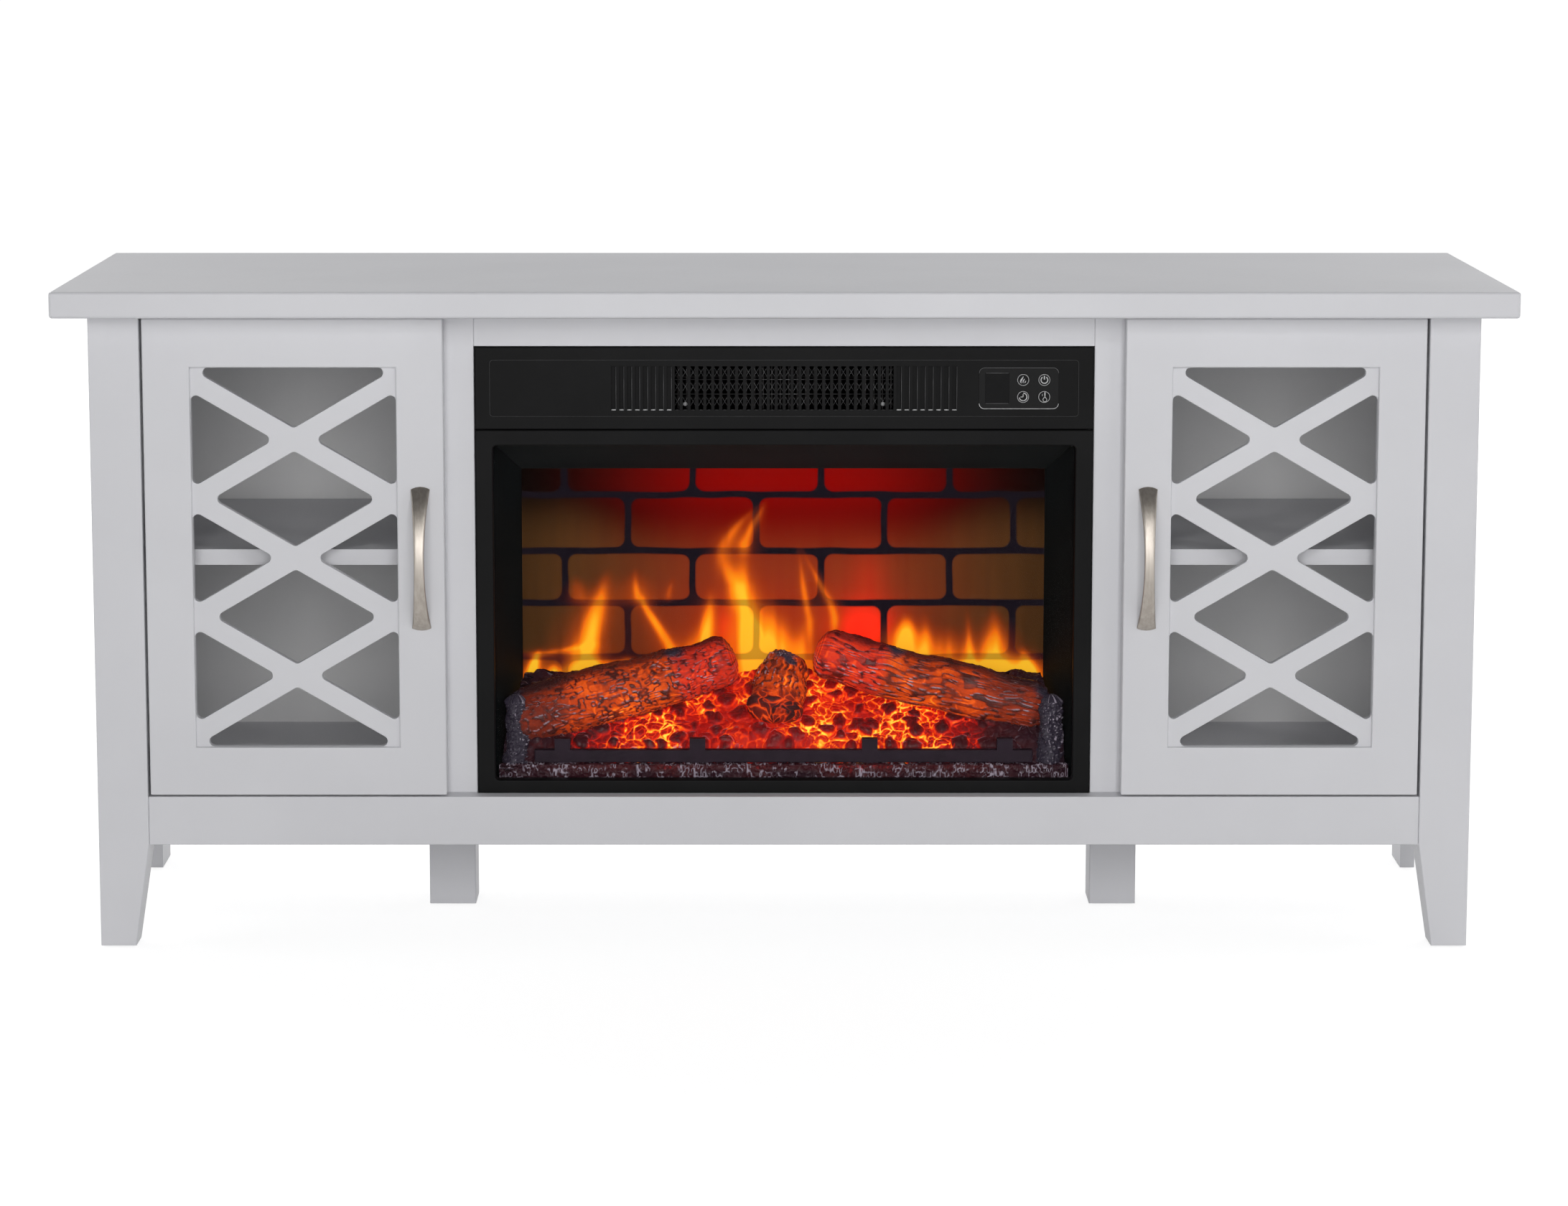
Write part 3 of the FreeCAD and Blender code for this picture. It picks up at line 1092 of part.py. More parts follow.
def make_rotor():
    """Flame rotor behind the screen, between a motor and a bearing boss on the case walls."""
    axis_y = screen_y + SCREEN_THICK + ROTOR_BEHIND_SCREEN
    axis_z = floor_z + ROTOR_RISE
    middle = Vector(0, axis_y, axis_z)
    motor_x = inner_x - ROTOR_MOTOR_LENGTH
    boss_x = -inner_x + ROTOR_BOSS_LENGTH
    shaft_x = (boss_x - SHAFT_ENGAGE, motor_x + SHAFT_ENGAGE)
    shaft = rod(Vector(shaft_x[0], axis_y, axis_z), X_AXIS, ROTOR_SHAFT_RADIUS, shaft_x[1] - shaft_x[0])
    fin_span = 2 * (inner_x - ROTOR_MOTOR_LENGTH - ROTOR_END)
    fin_pitch = (fin_span - ROTOR_FIN_WIDTH) / (ROTOR_FINS - 1)
    fins = []
    for number in range(ROTOR_FINS):
        fin_x = -fin_span / 2 + number * fin_pitch
        fin = box(
            (fin_x, fin_x + ROTOR_FIN_WIDTH), (axis_y - ROTOR_FIN_THICK / 2, axis_y + ROTOR_FIN_THICK / 2),
            (axis_z, axis_z + ROTOR_RADIUS))
        fin.rotate(middle, X_AXIS, number * ROTOR_FIN_TURN)
        fins.append(fin)
    nodes["flame_rotor"] = shaft.fuse(fins).removeSplitter()
    bore_radius = ROTOR_SHAFT_RADIUS + SHAFT_GAP
    bore_depth = SHAFT_ENGAGE + SHAFT_END_GAP
    motor = rod(Vector(motor_x, axis_y, axis_z), X_AXIS, ROTOR_MOTOR_RADIUS, ROTOR_MOTOR_LENGTH)
    motor_bore = rod(Vector(motor_x - OVERRUN, axis_y, axis_z), X_AXIS, bore_radius, OVERRUN + bore_depth)
    nodes["rotor_motor"] = motor.cut(motor_bore)
    boss = rod(Vector(-inner_x, axis_y, axis_z), X_AXIS, ROTOR_BOSS_RADIUS, ROTOR_BOSS_LENGTH)
    boss_bore = rod(Vector(boss_x - bore_depth, axis_y, axis_z), X_AXIS, bore_radius, OVERRUN + bore_depth)
    nodes["fire_case"] = nodes["fire_case"].fuse(boss.cut(boss_bore)).removeSplitter()
    return middle


# Log set
def log_shape(shares, extra):
    """Log lofted through circles at stations given as shares, with its radius grown by an extra."""
    bed_depth = bed_back_y - bed_front_y
    centres = []
    radii = []
    for across, through, up, thick in shares:
        centres.append(Vector(
            across * opening_x, bed_front_y + through * bed_depth, opening_low_z + up * opening_height))
        radii.append(thick * opening_height + extra)
    wires = []
    for number, centre in enumerate(centres):
        before = centres[max(number - 1, 0)]
        after = centres[min(number + 1, len(centres) - 1)]
        circle = Part.Circle(centre, after - before, radii[number])
        wires.append(Part.Wire(circle.toShape()))
    return Part.makeLoft(wires, True, False)


def make_logs():
    """Three resin logs; the middle one is trimmed where it meets the other two."""
    left = log_shape(LEFT_LOG_SHARES, 0)
    right = log_shape(RIGHT_LOG_SHARES, 0)
    neighbours = [log_shape(LEFT_LOG_SHARES, LOG_SEAT_GAP), log_shape(RIGHT_LOG_SHARES, LOG_SEAT_GAP)]
    centre = log_shape(CENTRE_LOG_SHARES, 0).cut(neighbours)
    nodes["left_log"] = left
    nodes["right_log"] = right
    nodes["centre_log"] = max(centre.Solids, key=lambda solid: solid.Volume)


def make_ember_bed():
    """Ember bed: front step, ramp, side mounds, log seats and a hollow under it for the light board."""
    step_back_y = bed_front_y + BED_STEP_DEPTH
    rear_half = screen_x - BED_SIDE_GAP
    front_half = cheek_x - BED_SIDE_GAP
    ramp_points = [
        Vector(-front_half, bed_front_y, inner_low_z),
        Vector(-front_half, bed_front_y, step_z),
        Vector(-front_half, step_back_y, step_z),
        Vector(-front_half, step_back_y, floor_z + BED_RAMP_RISE),
        Vector(-front_half, bed_back_y, floor_z + BED_BACK_RISE),
        Vector(-front_half, bed_back_y, inner_low_z),
    ]
    ramp = prism(ramp_points, X_AXIS * (2 * front_half))
    plan_points = [
        Vector(-front_half, bed_front_y, inner_low_z),
        Vector(front_half, bed_front_y, inner_low_z),
        Vector(rear_half, bed_back_y, inner_low_z),
        Vector(-rear_half, bed_back_y, inner_low_z),
    ]
    plan = prism(plan_points, Z_AXIS * opening_height)
    mounds = []
    for side in SIDES.values():
        mound_x = span(side, rear_half - BED_MOUND_WIDTH, front_half)
        mounds.append(box(mound_x, (step_back_y, bed_back_y), (inner_low_z, floor_z + BED_MOUND_RISE)))
    bed = ramp.fuse(mounds).common(plan)
    hollow_x = rear_half - BED_MOUND_WIDTH
    hollow = box(
        (-hollow_x, hollow_x), (bed_front_y + BED_CAVITY_WALL, bed_back_y - BED_CAVITY_WALL),
        (inner_low_z - OVERRUN, inner_low_z + BED_CAVITY_HEIGHT))
    all_shares = (LEFT_LOG_SHARES, RIGHT_LOG_SHARES, CENTRE_LOG_SHARES)
    seats = [log_shape(shares, LOG_SEAT_GAP) for shares in all_shares]
    nodes["ember_bed"] = bed.removeSplitter().cut([hollow] + seats)
    board_half = hollow_x - LED_BOARD_GAP
    board_y = (bed_front_y + BED_CAVITY_WALL + LED_BOARD_GAP, bed_back_y - BED_CAVITY_WALL - LED_BOARD_GAP)
    board = box((-board_half, board_half), board_y, (inner_low_z, inner_low_z + LED_BOARD_THICK))
    led_pitch = 2 * board_half / LED_COUNT
    led_y = (sum(board_y) - LED_SIZE) / 2
    leds = []
    for number in range(LED_COUNT):
        led_x = -board_half + (number + 1 / 2) * led_pitch - LED_SIZE / 2
        led_z = (inner_low_z + LED_BOARD_THICK, inner_low_z + LED_BOARD_THICK + LED_HEIGHT)
        leds.append(box((led_x, led_x + LED_SIZE), (led_y, led_y + LED_SIZE), led_z))
    nodes["light_board"] = board.fuse(leds).removeSplitter()


def make_grate():
    """Grate bar with four short uprights, standing on the step of the ember bed."""
    half = opening_x - GRATE_END_GAP
    bar_y = (bed_front_y + GRATE_SET_BACK, bed_front_y + GRATE_SET_BACK + GRATE_BAR_THICK)
    bar = eased_box((-half, half), bar_y, (step_z, step_z + GRATE_BAR_HEIGHT), EDGE_ROUND)
    uprights = []
    for share in GRATE_UPRIGHT_SHARES:
        middle = share * half
        upright_x = (middle - GRATE_UPRIGHT_WIDTH / 2, middle + GRATE_UPRIGHT_WIDTH / 2)
        uprights.append(box(upright_x, bar_y, (step_z, step_z + GRATE_UPRIGHT_RISE)))
    nodes["grate_bar"] = bar.fuse(uprights).removeSplitter()


def make_brackets():
    """Bent brackets that hold the case of the fire to the partitions."""
    rear = cover_y - BRACKET_REAR
    front = rear - BRACKET_FLANGE
    low = floor_z + BRACKET_RISE
    points = [
        Vector(shell_x, front, low),
        Vector(shell_x + SHEET, front, low),
        Vector(shell_x + SHEET, rear - SHEET, low),
        Vector(partition_in_x, rear - SHEET, low),
        Vector(partition_in_x, rear + BRACKET_FLANGE, low),
        Vector(partition_in_x - SHEET, rear + BRACKET_FLANGE, low),
        Vector(partition_in_x - SHEET, rear, low),
        Vector(shell_x, rear, low),
    ]
    bracket = prism(points, Z_AXIS * BRACKET_HEIGHT)
    for step in (-1, 1):
        screw_z = low + BRACKET_HEIGHT / 2 + step * BRACKET_HEIGHT / 4
        for name, side in SIDES.items():
            face = Vector(side * (partition_in_x - SHEET), rear + BRACKET_FLANGE / 2, screw_z)
            wood_screw("fire_brackets", name + "_partition", face, X_AXIS * side)
    nodes["fire_brackets"] = Part.makeCompound([bracket, mirrored(bracket)])


def drill():
    """Cut the kept holes out of their nodes."""
    for name, holes in cuts.items():
        pieces = [solid.cut(holes) for solid in nodes[name].Solids]
        nodes[name] = pieces[0] if len(pieces) == 1 else Part.makeCompound(pieces)


def main():
    make_top()
    make_front_legs()
    make_side_panels()
    make_bottom()
    make_bay()
    make_backs()
    make_shelves()
    make_glides(make_support_legs())
    make_dowels()
    make_door_frames()
    make_lattices()
    make_handles()
    make_hinges()
    make_fire_case()
    make_front_frame()
    make_control_strip()
    button_fronts = make_controls()
    blower_axle = make_blower(make_heater())
    make_firebox_lining()
    rotor_axis = make_rotor()
    make_logs()
    make_ember_bed()
    make_grate()
    make_brackets()
    nodes["wood_dowels"] = Part.makeCompound(dowels)
    nodes["wood_screws"] = Part.makeCompound(wood_screws)
    drill()
    os.makedirs("parts", exist_ok=True)
    for name, shape in nodes.items():
        shape.exportStep(os.path.join("parts", name + ".step"))
    print("nodes", len(nodes))
    print("right hinge pin", hinge_pin_place(0))
    print("blower axle", blower_axle)
    print("rotor axis", rotor_axis)
    for name, front in button_fronts.items():
        print(name, front)


main()
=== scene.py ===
# %% [markdown]
# # A white television stand with an electric log fire
# The stand is a long painted cabinet with a lattice-door cupboard at each end. Between the cupboards
# sits an electric fire with a fan heater, a glowing brick screen and a set of resin logs. The boards,
# doors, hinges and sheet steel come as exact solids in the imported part, so they aren't modelled again.
# This lesson gives every solid its finish. It works out as numpy surfaces only what a plain solid can't
# show: bark, embers, flames, the curved handles, the wire guard and the small printed symbols.

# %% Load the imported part
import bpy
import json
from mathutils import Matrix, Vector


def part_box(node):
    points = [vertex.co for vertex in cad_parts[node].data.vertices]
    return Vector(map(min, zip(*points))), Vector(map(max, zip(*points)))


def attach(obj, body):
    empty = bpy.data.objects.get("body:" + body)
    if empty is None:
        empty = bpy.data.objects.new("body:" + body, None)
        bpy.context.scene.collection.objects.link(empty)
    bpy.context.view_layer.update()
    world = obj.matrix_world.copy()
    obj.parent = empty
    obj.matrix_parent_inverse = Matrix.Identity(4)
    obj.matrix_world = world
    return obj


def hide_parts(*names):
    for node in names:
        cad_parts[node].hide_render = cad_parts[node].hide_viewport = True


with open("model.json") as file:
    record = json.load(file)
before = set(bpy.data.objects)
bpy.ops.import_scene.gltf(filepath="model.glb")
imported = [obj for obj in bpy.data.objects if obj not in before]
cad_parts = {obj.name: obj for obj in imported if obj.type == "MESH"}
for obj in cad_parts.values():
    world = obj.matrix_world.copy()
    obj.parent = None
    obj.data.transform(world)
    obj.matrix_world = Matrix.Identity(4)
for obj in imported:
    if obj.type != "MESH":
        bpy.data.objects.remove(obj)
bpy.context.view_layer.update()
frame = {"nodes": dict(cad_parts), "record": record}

# %% [markdown]
# A surface worked out with numpy is a grid of points: one parameter runs down the rows, the other along
# the columns. The faces of such a grid always join the same neighbours, so one helper can turn any
# grid, or several grids, into a mesh. Building the arrays whole and handing them over with foreach_set
# is far quicker than adding points one by one. Where a grid comes back to its start, or shrinks to a
# point, the doubled points are merged, so the skin is closed.

# %% Meshes from grids of points
import bmesh
import bpy
import json
import math
import numpy as np

MM = 0.001
SAME_POINT = 0.002 * MM


def grid_faces(rows, columns, wrap_rows, wrap_columns):
    """Corner numbers of four-sided faces: each point with the next in its column, its row and both."""
    row = np.arange(rows if wrap_rows else rows - 1)[:, None]
    column = np.arange(columns if wrap_columns else columns - 1)[None, :]
    next_row = (row + 1) % rows
    next_column = (column + 1) % columns
    corners = (row * columns + column, next_row * columns + column,
               next_row * columns + next_column, row * columns + next_column)
    return np.stack(np.broadcast_arrays(*corners), axis=-1).reshape(-1, 4)


def close_seams(mesh):
    """Merge points that lie on each other, then turn every face outwards."""
    work = bmesh.new()
    work.from_mesh(mesh)
    bmesh.ops.remove_doubles(work, verts=work.verts, dist=SAME_POINT)
    bmesh.ops.recalc_face_normals(work, faces=work.faces)
    work.to_mesh(mesh)
    work.free()


def surface_piece(name, grids, marks=None, sharp_degrees=None):
    """Mesh from grids of (points in mm, rows wrap, columns wrap), with named values on its points."""
    starts = np.cumsum([0] + [points.shape[0] * points.shape[1] for points, _, _ in grids])
    corners = np.concatenate([points.reshape(-1, 3) for points, _, _ in grids]) * MM
    faces = np.concatenate([
        grid_faces(*points.shape[:2], wrap_rows, wrap_columns) + start
        for (points, wrap_rows, wrap_columns), start in zip(grids, starts)])
    mesh = bpy.data.meshes.new(name)
    mesh.vertices.add(len(corners))
    mesh.vertices.foreach_set("co", corners.astype(np.float32).ravel())
    mesh.loops.add(faces.size)
    mesh.loops.foreach_set("vertex_index", faces.astype(np.int32).ravel())
    mesh.polygons.add(len(faces))
    mesh.polygons.foreach_set("loop_start", np.arange(0, faces.size, 4, dtype=np.int32))
    mesh.update(calc_edges=True)
    for mark, values in (marks or {}).items():
        layer = mesh.attributes.new(mark, "FLOAT", "POINT")
        layer.data.foreach_set("value", values.astype(np.float32).ravel())
    close_seams(mesh)
    mesh.shade_smooth()
    if sharp_degrees:
        mesh.set_sharp_from_angle(angle=math.radians(sharp_degrees))
    piece = bpy.data.objects.new(name, mesh)
    bpy.context.scene.collection.objects.link(piece)
    return piece


def fit_piece(piece, body, slot, finish, *nodes):
    """Give a piece its finish and its body, and hide the solids that it stands for; its slot is not used."""
    piece.data.materials.append(finish)
    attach(piece, body)
    if nodes:
        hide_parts(*nodes)
    print(piece.name, "faces", len(piece.data.polygons), "on", body)


# %% [markdown]
# Bark, coal and flame are irregular, but they have to come out the same on every run. Two kinds of
# seeded pattern are enough. The first is smooth noise: random heights on a lattice, blended between the
# knots. The second scatters one seed in each square of a lattice and measures how far a point is from
# its nearest seeds, which gives rounded lumps with creases between them, as in coal.

# %% Seeded patterns
NEIGHBOUR_STEPS = (-1, 0, 1)
FAR_AWAY = 9.0


def eased(share):
    """S-curve from 0 to 1: three times the square less twice the cube."""
    share = np.clip(share, 0, 1)
    return share * share * (3 - 2 * share)


def lattice_noise(across, along, knots_across, knots_along, seed):
    """Random heights at lattice knots, blended by the S-curve. Places run from 0 to 1; across repeats."""
    heights = np.random.default_rng(seed).random((knots_across, knots_along + 1))
    place_across = across * knots_across
    place_along = np.clip(along, 0, 1) * knots_along
    first_across = np.floor(place_across).astype(int)
    first_along = np.minimum(np.floor(place_along).astype(int), knots_along - 1)
    blend_across = eased(place_across - first_across)
    blend_along = eased(place_along - first_along)
    left = first_across % knots_across
    right = (first_across + 1) % knots_across
    near = heights[left, first_along] * (1 - blend_across) + heights[right, first_along] * blend_across
    far = heights[left, first_along + 1] * (1 - blend_across) + heights[right, first_along + 1] * blend_across
    return near * (1 - blend_along) + far * blend_along


def nearest_seeds(across, along, seed):
    """Distances to the nearest two seeds, in lattice squares, and a random tone for the nearest."""
    rows = int(np.floor(across).max()) + 3
    columns = int(np.floor(along).max()) + 3
    draw = np.random.default_rng(seed)
    jitter = draw.random((rows, columns, 2))
    tones = draw.random((rows, columns))
    row = np.floor(across).astype(int)
    column = np.floor(along).astype(int)
    first = np.full(across.shape, FAR_AWAY)
    second = np.full(across.shape, FAR_AWAY)
    tone = np.zeros(across.shape)
    for row_step in NEIGHBOUR_STEPS:
        for column_step in NEIGHBOUR_STEPS:
            seed_row = np.clip(row + row_step, 0, rows - 1)
            seed_column = np.clip(column + column_step, 0, columns - 1)
            reach_across = across - seed_row - jitter[seed_row, seed_column, 0]
            reach_along = along - seed_column - jitter[seed_row, seed_column, 1]
            distance = np.hypot(reach_across, reach_along)
            nearer = distance < first
            second = np.where(nearer, first, np.minimum(second, distance))
            tone = np.where(nearer, tones[seed_row, seed_column], tone)
            first = np.where(nearer, distance, first)
    return first, second, tone


print("patterns", lattice_noise.__name__, nearest_seeds.__name__)

# %% [markdown]
# Every finish here is a Principled shader with a grain. The grain is noise on Object coordinates,
# stretched along the way that a board was sprayed, a strip was brushed or a bar was cast. It moves the
# colour a little between two tones, moves the roughness between two values and lifts the surface by a
# few hundredths of a millimetre. Values that are the same all over, such as Metallic, are set on the
# shader's own sockets.

# %% Helpers for finishes
def new_finish(name, sockets):
    """Material with a Principled shader whose even values sit on its own sockets."""
    material = bpy.data.materials.new(name)
    material.use_nodes = True
    shader = material.node_tree.nodes["Principled BSDF"]
    for socket, value in sockets.items():
        shader.inputs[socket].default_value = value
    return material


def add_node(material, kind, values=None, **settings):
    """Node of a kind with its settings and the values of its unlinked inputs."""
    node = material.node_tree.nodes.new(kind)
    for setting, value in settings.items():
        setattr(node, setting, value)
    for socket, value in (values or {}).items():
        node.inputs[socket].default_value = value
    return node


def wire(material, source, target):
    """Link from an output socket to an input socket."""
    material.node_tree.links.new(source, target)


def shader_of(material):
    """The Principled shader of a finish."""
    return material.node_tree.nodes["Principled BSDF"]


print("node helpers", new_finish.__name__, add_node.__name__, wire.__name__)

# %% [markdown]
# Most finishes need the same few things from those nodes: a noise stretched to the size of a grain, a
# ramp of colours, a value carried from one range to another, and a bump. They could be wired by hand
# for every finish, but a helper for each keeps the sizes in millimetres and the recipes short. The last
# helper puts them all together.

# %% Grain, colour and lift
def grain_noise(material, grain_mm, detail=3.0):
    """Noise whose patches are as long as the three grain sizes along X, Y and Z."""
    place = add_node(material, "ShaderNodeTexCoord")
    stretch = add_node(material, "ShaderNodeMapping")
    stretch.inputs["Scale"].default_value = [1 / (size * MM) for size in grain_mm]
    noise = add_node(material, "ShaderNodeTexNoise", {"Scale": 1.0, "Detail": detail, "Roughness": 0.55})
    wire(material, place.outputs["Object"], stretch.inputs["Vector"])
    wire(material, stretch.outputs["Vector"], noise.inputs["Vector"])
    return noise.outputs["Fac"]


def colour_steps(material, value, steps):
    """Colours at places along a value, blended between, on a ramp."""
    ramp = add_node(material, "ShaderNodeValToRGB")
    while len(ramp.color_ramp.elements) < len(steps):
        ramp.color_ramp.elements.new(0.5)
    for element, (place, colour) in zip(ramp.color_ramp.elements, steps):
        element.position = place
        element.color = (*colour, 1.0)
    wire(material, value, ramp.inputs["Fac"])
    return ramp.outputs["Color"]


def between(material, value, low, high, start=0.3, end=0.7):
    """Value carried from one range to another, held at the ends."""
    carry = add_node(material, "ShaderNodeMapRange", {
        "From Min": start, "From Max": end, "To Min": low, "To Max": high})
    wire(material, value, carry.inputs["Value"])
    return carry.outputs["Result"]


def lift(material, value, height_mm):
    """Bump from a value: its full range lifts the surface by a height."""
    bump = add_node(material, "ShaderNodeBump", {"Strength": 1.0, "Distance": height_mm * MM})
    wire(material, value, bump.inputs["Height"])
    wire(material, bump.outputs["Normal"], shader_of(material).inputs["Normal"])


def grained_finish(name, dark, light, tone_mm, grain_mm, rough, height_mm, sockets):
    """Finish with broad changes of tone, and a fine grain for its roughness and its lift."""
    material = new_finish(name, sockets)
    shader = shader_of(material)
    tone = grain_noise(material, tone_mm)
    grain = grain_noise(material, grain_mm)
    wire(material, colour_steps(material, tone, ((0.35, dark), (0.65, light))), shader.inputs["Base Color"])
    wire(material, between(material, grain, *rough), shader.inputs["Roughness"])
    lift(material, grain, height_mm)
    return material


print("finish helper", grained_finish.__name__)

# %% [markdown]
# The cabinet is fibreboard sprayed with a satin white lacquer, very slightly cool. Close up, sprayed
# lacquer has a fine orange-peel ripple of about two millimetres, and over a whole board its tone drifts
# by a percent or two. The thin backs are covered with a printed white foil that is embossed and duller.

# %% White lacquer and white foil
finishes = {}
finishes["white_paint"] = grained_finish(
    "satin_white_lacquer", (0.655, 0.655, 0.680), (0.690, 0.690, 0.715), (260, 260, 260), (2.2, 2.2, 2.2),
    (0.36, 0.44), 0.012, {"Specular IOR Level": 0.32})
finishes["white_back"] = grained_finish(
    "embossed_white_foil", (0.880, 0.876, 0.873), (0.920, 0.916, 0.913), (120, 120, 180), (0.7, 0.7, 1.4),
    (0.50, 0.62), 0.03, {"Specular IOR Level": 0.35})
print("white finishes", sorted(finishes))

# %% [markdown]
# The fire is a black product. Its front frame and control strip are moulded with a fine spark-eroded
# texture, its case is powder-coated sheet steel, and the grate bar is cast with a purplish black glaze.
# Black surfaces show little but their gloss, so the main work is in the roughness and the fine lift.
# Specular is kept low, as on matt paint.

# %% Black mouldings, powder coat and cast iron
BLACK_FINISHES = {
    "black_frame": ((0.0052, 0.0052, 0.0054), (0.0070, 0.0070, 0.0073), (60, 60, 60), (0.45, 0.45, 0.45),
                    (0.40, 0.54), 0.02, 0.07),
    "black_steel": ((0.0090, 0.0090, 0.0095), (0.0125, 0.0125, 0.0130), (40, 40, 40), (0.9, 0.9, 0.9),
                    (0.42, 0.58), 0.04, 0.20),
    # Painted shade and tint: the cheeks are darker than the steel, as shade, and both enamels are tinted cool
    # to cancel the red glow of the fire.
    "cheek_enamel_painted_shade": ((0.0026, 0.0036, 0.0038), (0.0040, 0.0054, 0.0056), (40, 40, 40), (0.9, 0.9, 0.9),
                     (0.50, 0.66), 0.04, 0.015),
    "hood_enamel_tinted_against_glow": ((0.0100, 0.0122, 0.0124), (0.0125, 0.0150, 0.0152), (60, 60, 60), (0.9, 0.9, 0.9),
                    (0.50, 0.66), 0.04, 0.015),
    "panel_plastic": ((0.0052, 0.0052, 0.0055), (0.0066, 0.0066, 0.0069), (30, 30, 30), (0.3, 0.3, 0.3),
                      (0.26, 0.36), 0.006, 0.08),
    "button_plastic": ((0.0035, 0.0035, 0.0038), (0.0050, 0.0050, 0.0054), (6, 6, 6), (0.25, 0.25, 0.25),
                       (0.40, 0.52), 0.008, 0.08),
    "display_tint": ((0.0030, 0.0030, 0.0034), (0.0042, 0.0042, 0.0046), (18, 18, 18), (3, 3, 3),
                     (0.06, 0.12), 0.001, 0.08),
    "grate_iron": ((0.0135, 0.0062, 0.0125), (0.0205, 0.0100, 0.0190), (18, 18, 18), (1.1, 1.1, 1.1),
                   (0.40, 0.58), 0.06, 0.12),
    "gland_rubber": ((0.0080, 0.0080, 0.0082), (0.0130, 0.0130, 0.0132), (8, 8, 8), (0.4, 0.4, 0.4),
                     (0.55, 0.70), 0.02, 0.3),
}
for slot, (dark, light, tone_mm, grain_mm, rough, height_mm, shine) in BLACK_FINISHES.items():
    finishes[slot] = grained_finish(
        slot + "_finish", dark, light, tone_mm, grain_mm, rough, height_mm, {"Specular IOR Level": shine})
print("black finishes", len(BLACK_FINISHES))

# %% [markdown]
# Several metals show. The handles are satin nickel, brushed along their length, so their grain is long
# in Z. Hinges are bright nickel plate, screws and shelf pins are zinc plate, and inside the fire there
# are aluminium fins and plain steel motor cans. A metal's colour is its reflection, so Metallic is 1
# and the tone range is narrow.

# %% Metals
METAL_FINISHES = {
    "satin_nickel": ((0.340, 0.308, 0.274), (0.410, 0.374, 0.336), (3, 3, 60), (0.25, 0.25, 22),
                     (0.36, 0.46), 0.006),
    "hinge_steel": ((0.560, 0.560, 0.555), (0.660, 0.660, 0.655), (14, 14, 14), (0.8, 0.8, 0.8),
                    (0.20, 0.32), 0.004),
    "zinc_steel": ((0.480, 0.500, 0.520), (0.640, 0.650, 0.660), (3, 3, 3), (0.6, 0.6, 0.6),
                   (0.28, 0.46), 0.008),
    "bright_aluminium": ((0.620, 0.625, 0.630), (0.740, 0.745, 0.750), (20, 6, 20), (0.3, 6, 0.3),
                         (0.22, 0.36), 0.006),
    # Painted shade: the fins and the fan wheel lie deep in the case, so they are painted near black instead
    # of bright aluminium.
    "fins_painted_dark_as_shade": ((0.014, 0.013, 0.013), (0.028, 0.027, 0.027), (9, 9, 9), (0.4, 3, 0.4),
                      (0.45, 0.60), 0.008),
    "motor_steel": ((0.380, 0.385, 0.390), (0.480, 0.485, 0.490), (12, 12, 12), (9, 0.4, 0.4),
                    (0.28, 0.42), 0.006),
}
for slot, (dark, light, tone_mm, grain_mm, rough, height_mm) in METAL_FINISHES.items():
    finishes[slot] = grained_finish(
        slot + "_finish", dark, light, tone_mm, grain_mm, rough, height_mm, {"Metallic": 1.0})
print("metal finishes", len(METAL_FINISHES))

# %% [markdown]
# A few small parts remain: turned beech dowels, whose grain runs along the peg, grey nylon glides under
# the feet, and the two circuit boards, green laminate crossed by paler copper tracks. The tracks come
# from a brick pattern on Object coordinates, whose mortar lines stand for copper under the solder mask.

# %% Beech, nylon and circuit board
finishes["beech"] = grained_finish(
    "beech_peg", (0.480, 0.300, 0.160), (0.640, 0.450, 0.270), (2, 2, 12), (0.35, 0.35, 4),
    (0.55, 0.70), 0.03, {})
finishes["glide_plastic"] = grained_finish(
    "grey_nylon", (0.210, 0.212, 0.218), (0.260, 0.262, 0.268), (9, 9, 9), (0.5, 0.5, 0.5),
    (0.42, 0.55), 0.01, {})
LAMINATE_GREEN = (0.012, 0.085, 0.034, 1.0)
TRACK_GREEN = (0.040, 0.190, 0.080, 1.0)
TRACK_PITCH = 9
TRACK_HEIGHT = 0.035
board_finish = new_finish("green_laminate", {"Roughness": 0.35})
board_place = add_node(board_finish, "ShaderNodeTexCoord")
board_turn = add_node(board_finish, "ShaderNodeMapping")
board_turn.inputs["Rotation"].default_value = (math.radians(90), 0, 0)
board_tracks = add_node(board_finish, "ShaderNodeTexBrick", {
    "Color1": LAMINATE_GREEN, "Color2": LAMINATE_GREEN, "Mortar": TRACK_GREEN,
    "Scale": 1 / (TRACK_PITCH * MM), "Mortar Size": 0.06, "Mortar Smooth": 0.2})
wire(board_finish, board_place.outputs["Object"], board_turn.inputs["Vector"])
wire(board_finish, board_turn.outputs["Vector"], board_tracks.inputs["Vector"])
wire(board_finish, board_tracks.outputs["Color"], shader_of(board_finish).inputs["Base Color"])
lift(board_finish, board_tracks.outputs["Fac"], TRACK_HEIGHT)
finishes["circuit_board"] = board_finish
print("finishes", len(finishes))

# %% [markdown]
# The pane before the fire is clear tempered glass, four millimetres thick. Refraction through so thin a
# pane moves nothing that the eye can see, and a refracting shader would keep the lamps off the logs
# behind it. So the pane is mostly see-through by its Alpha, with a sharp reflection left over and faint
# wiping marks in the roughness.

# %% Clear glass
glass = new_finish("clear_glass", {"Base Color": (0.02, 0.02, 0.02, 1.0), "Alpha": 0.025, "IOR": 1.5})
wiped = grain_noise(glass, (90, 90, 30))
wire(glass, between(glass, wiped, 0.02, 0.07), shader_of(glass).inputs["Roughness"])
finishes["clear_glass"] = glass
print("glass alpha", shader_of(glass).inputs["Alpha"].default_value)
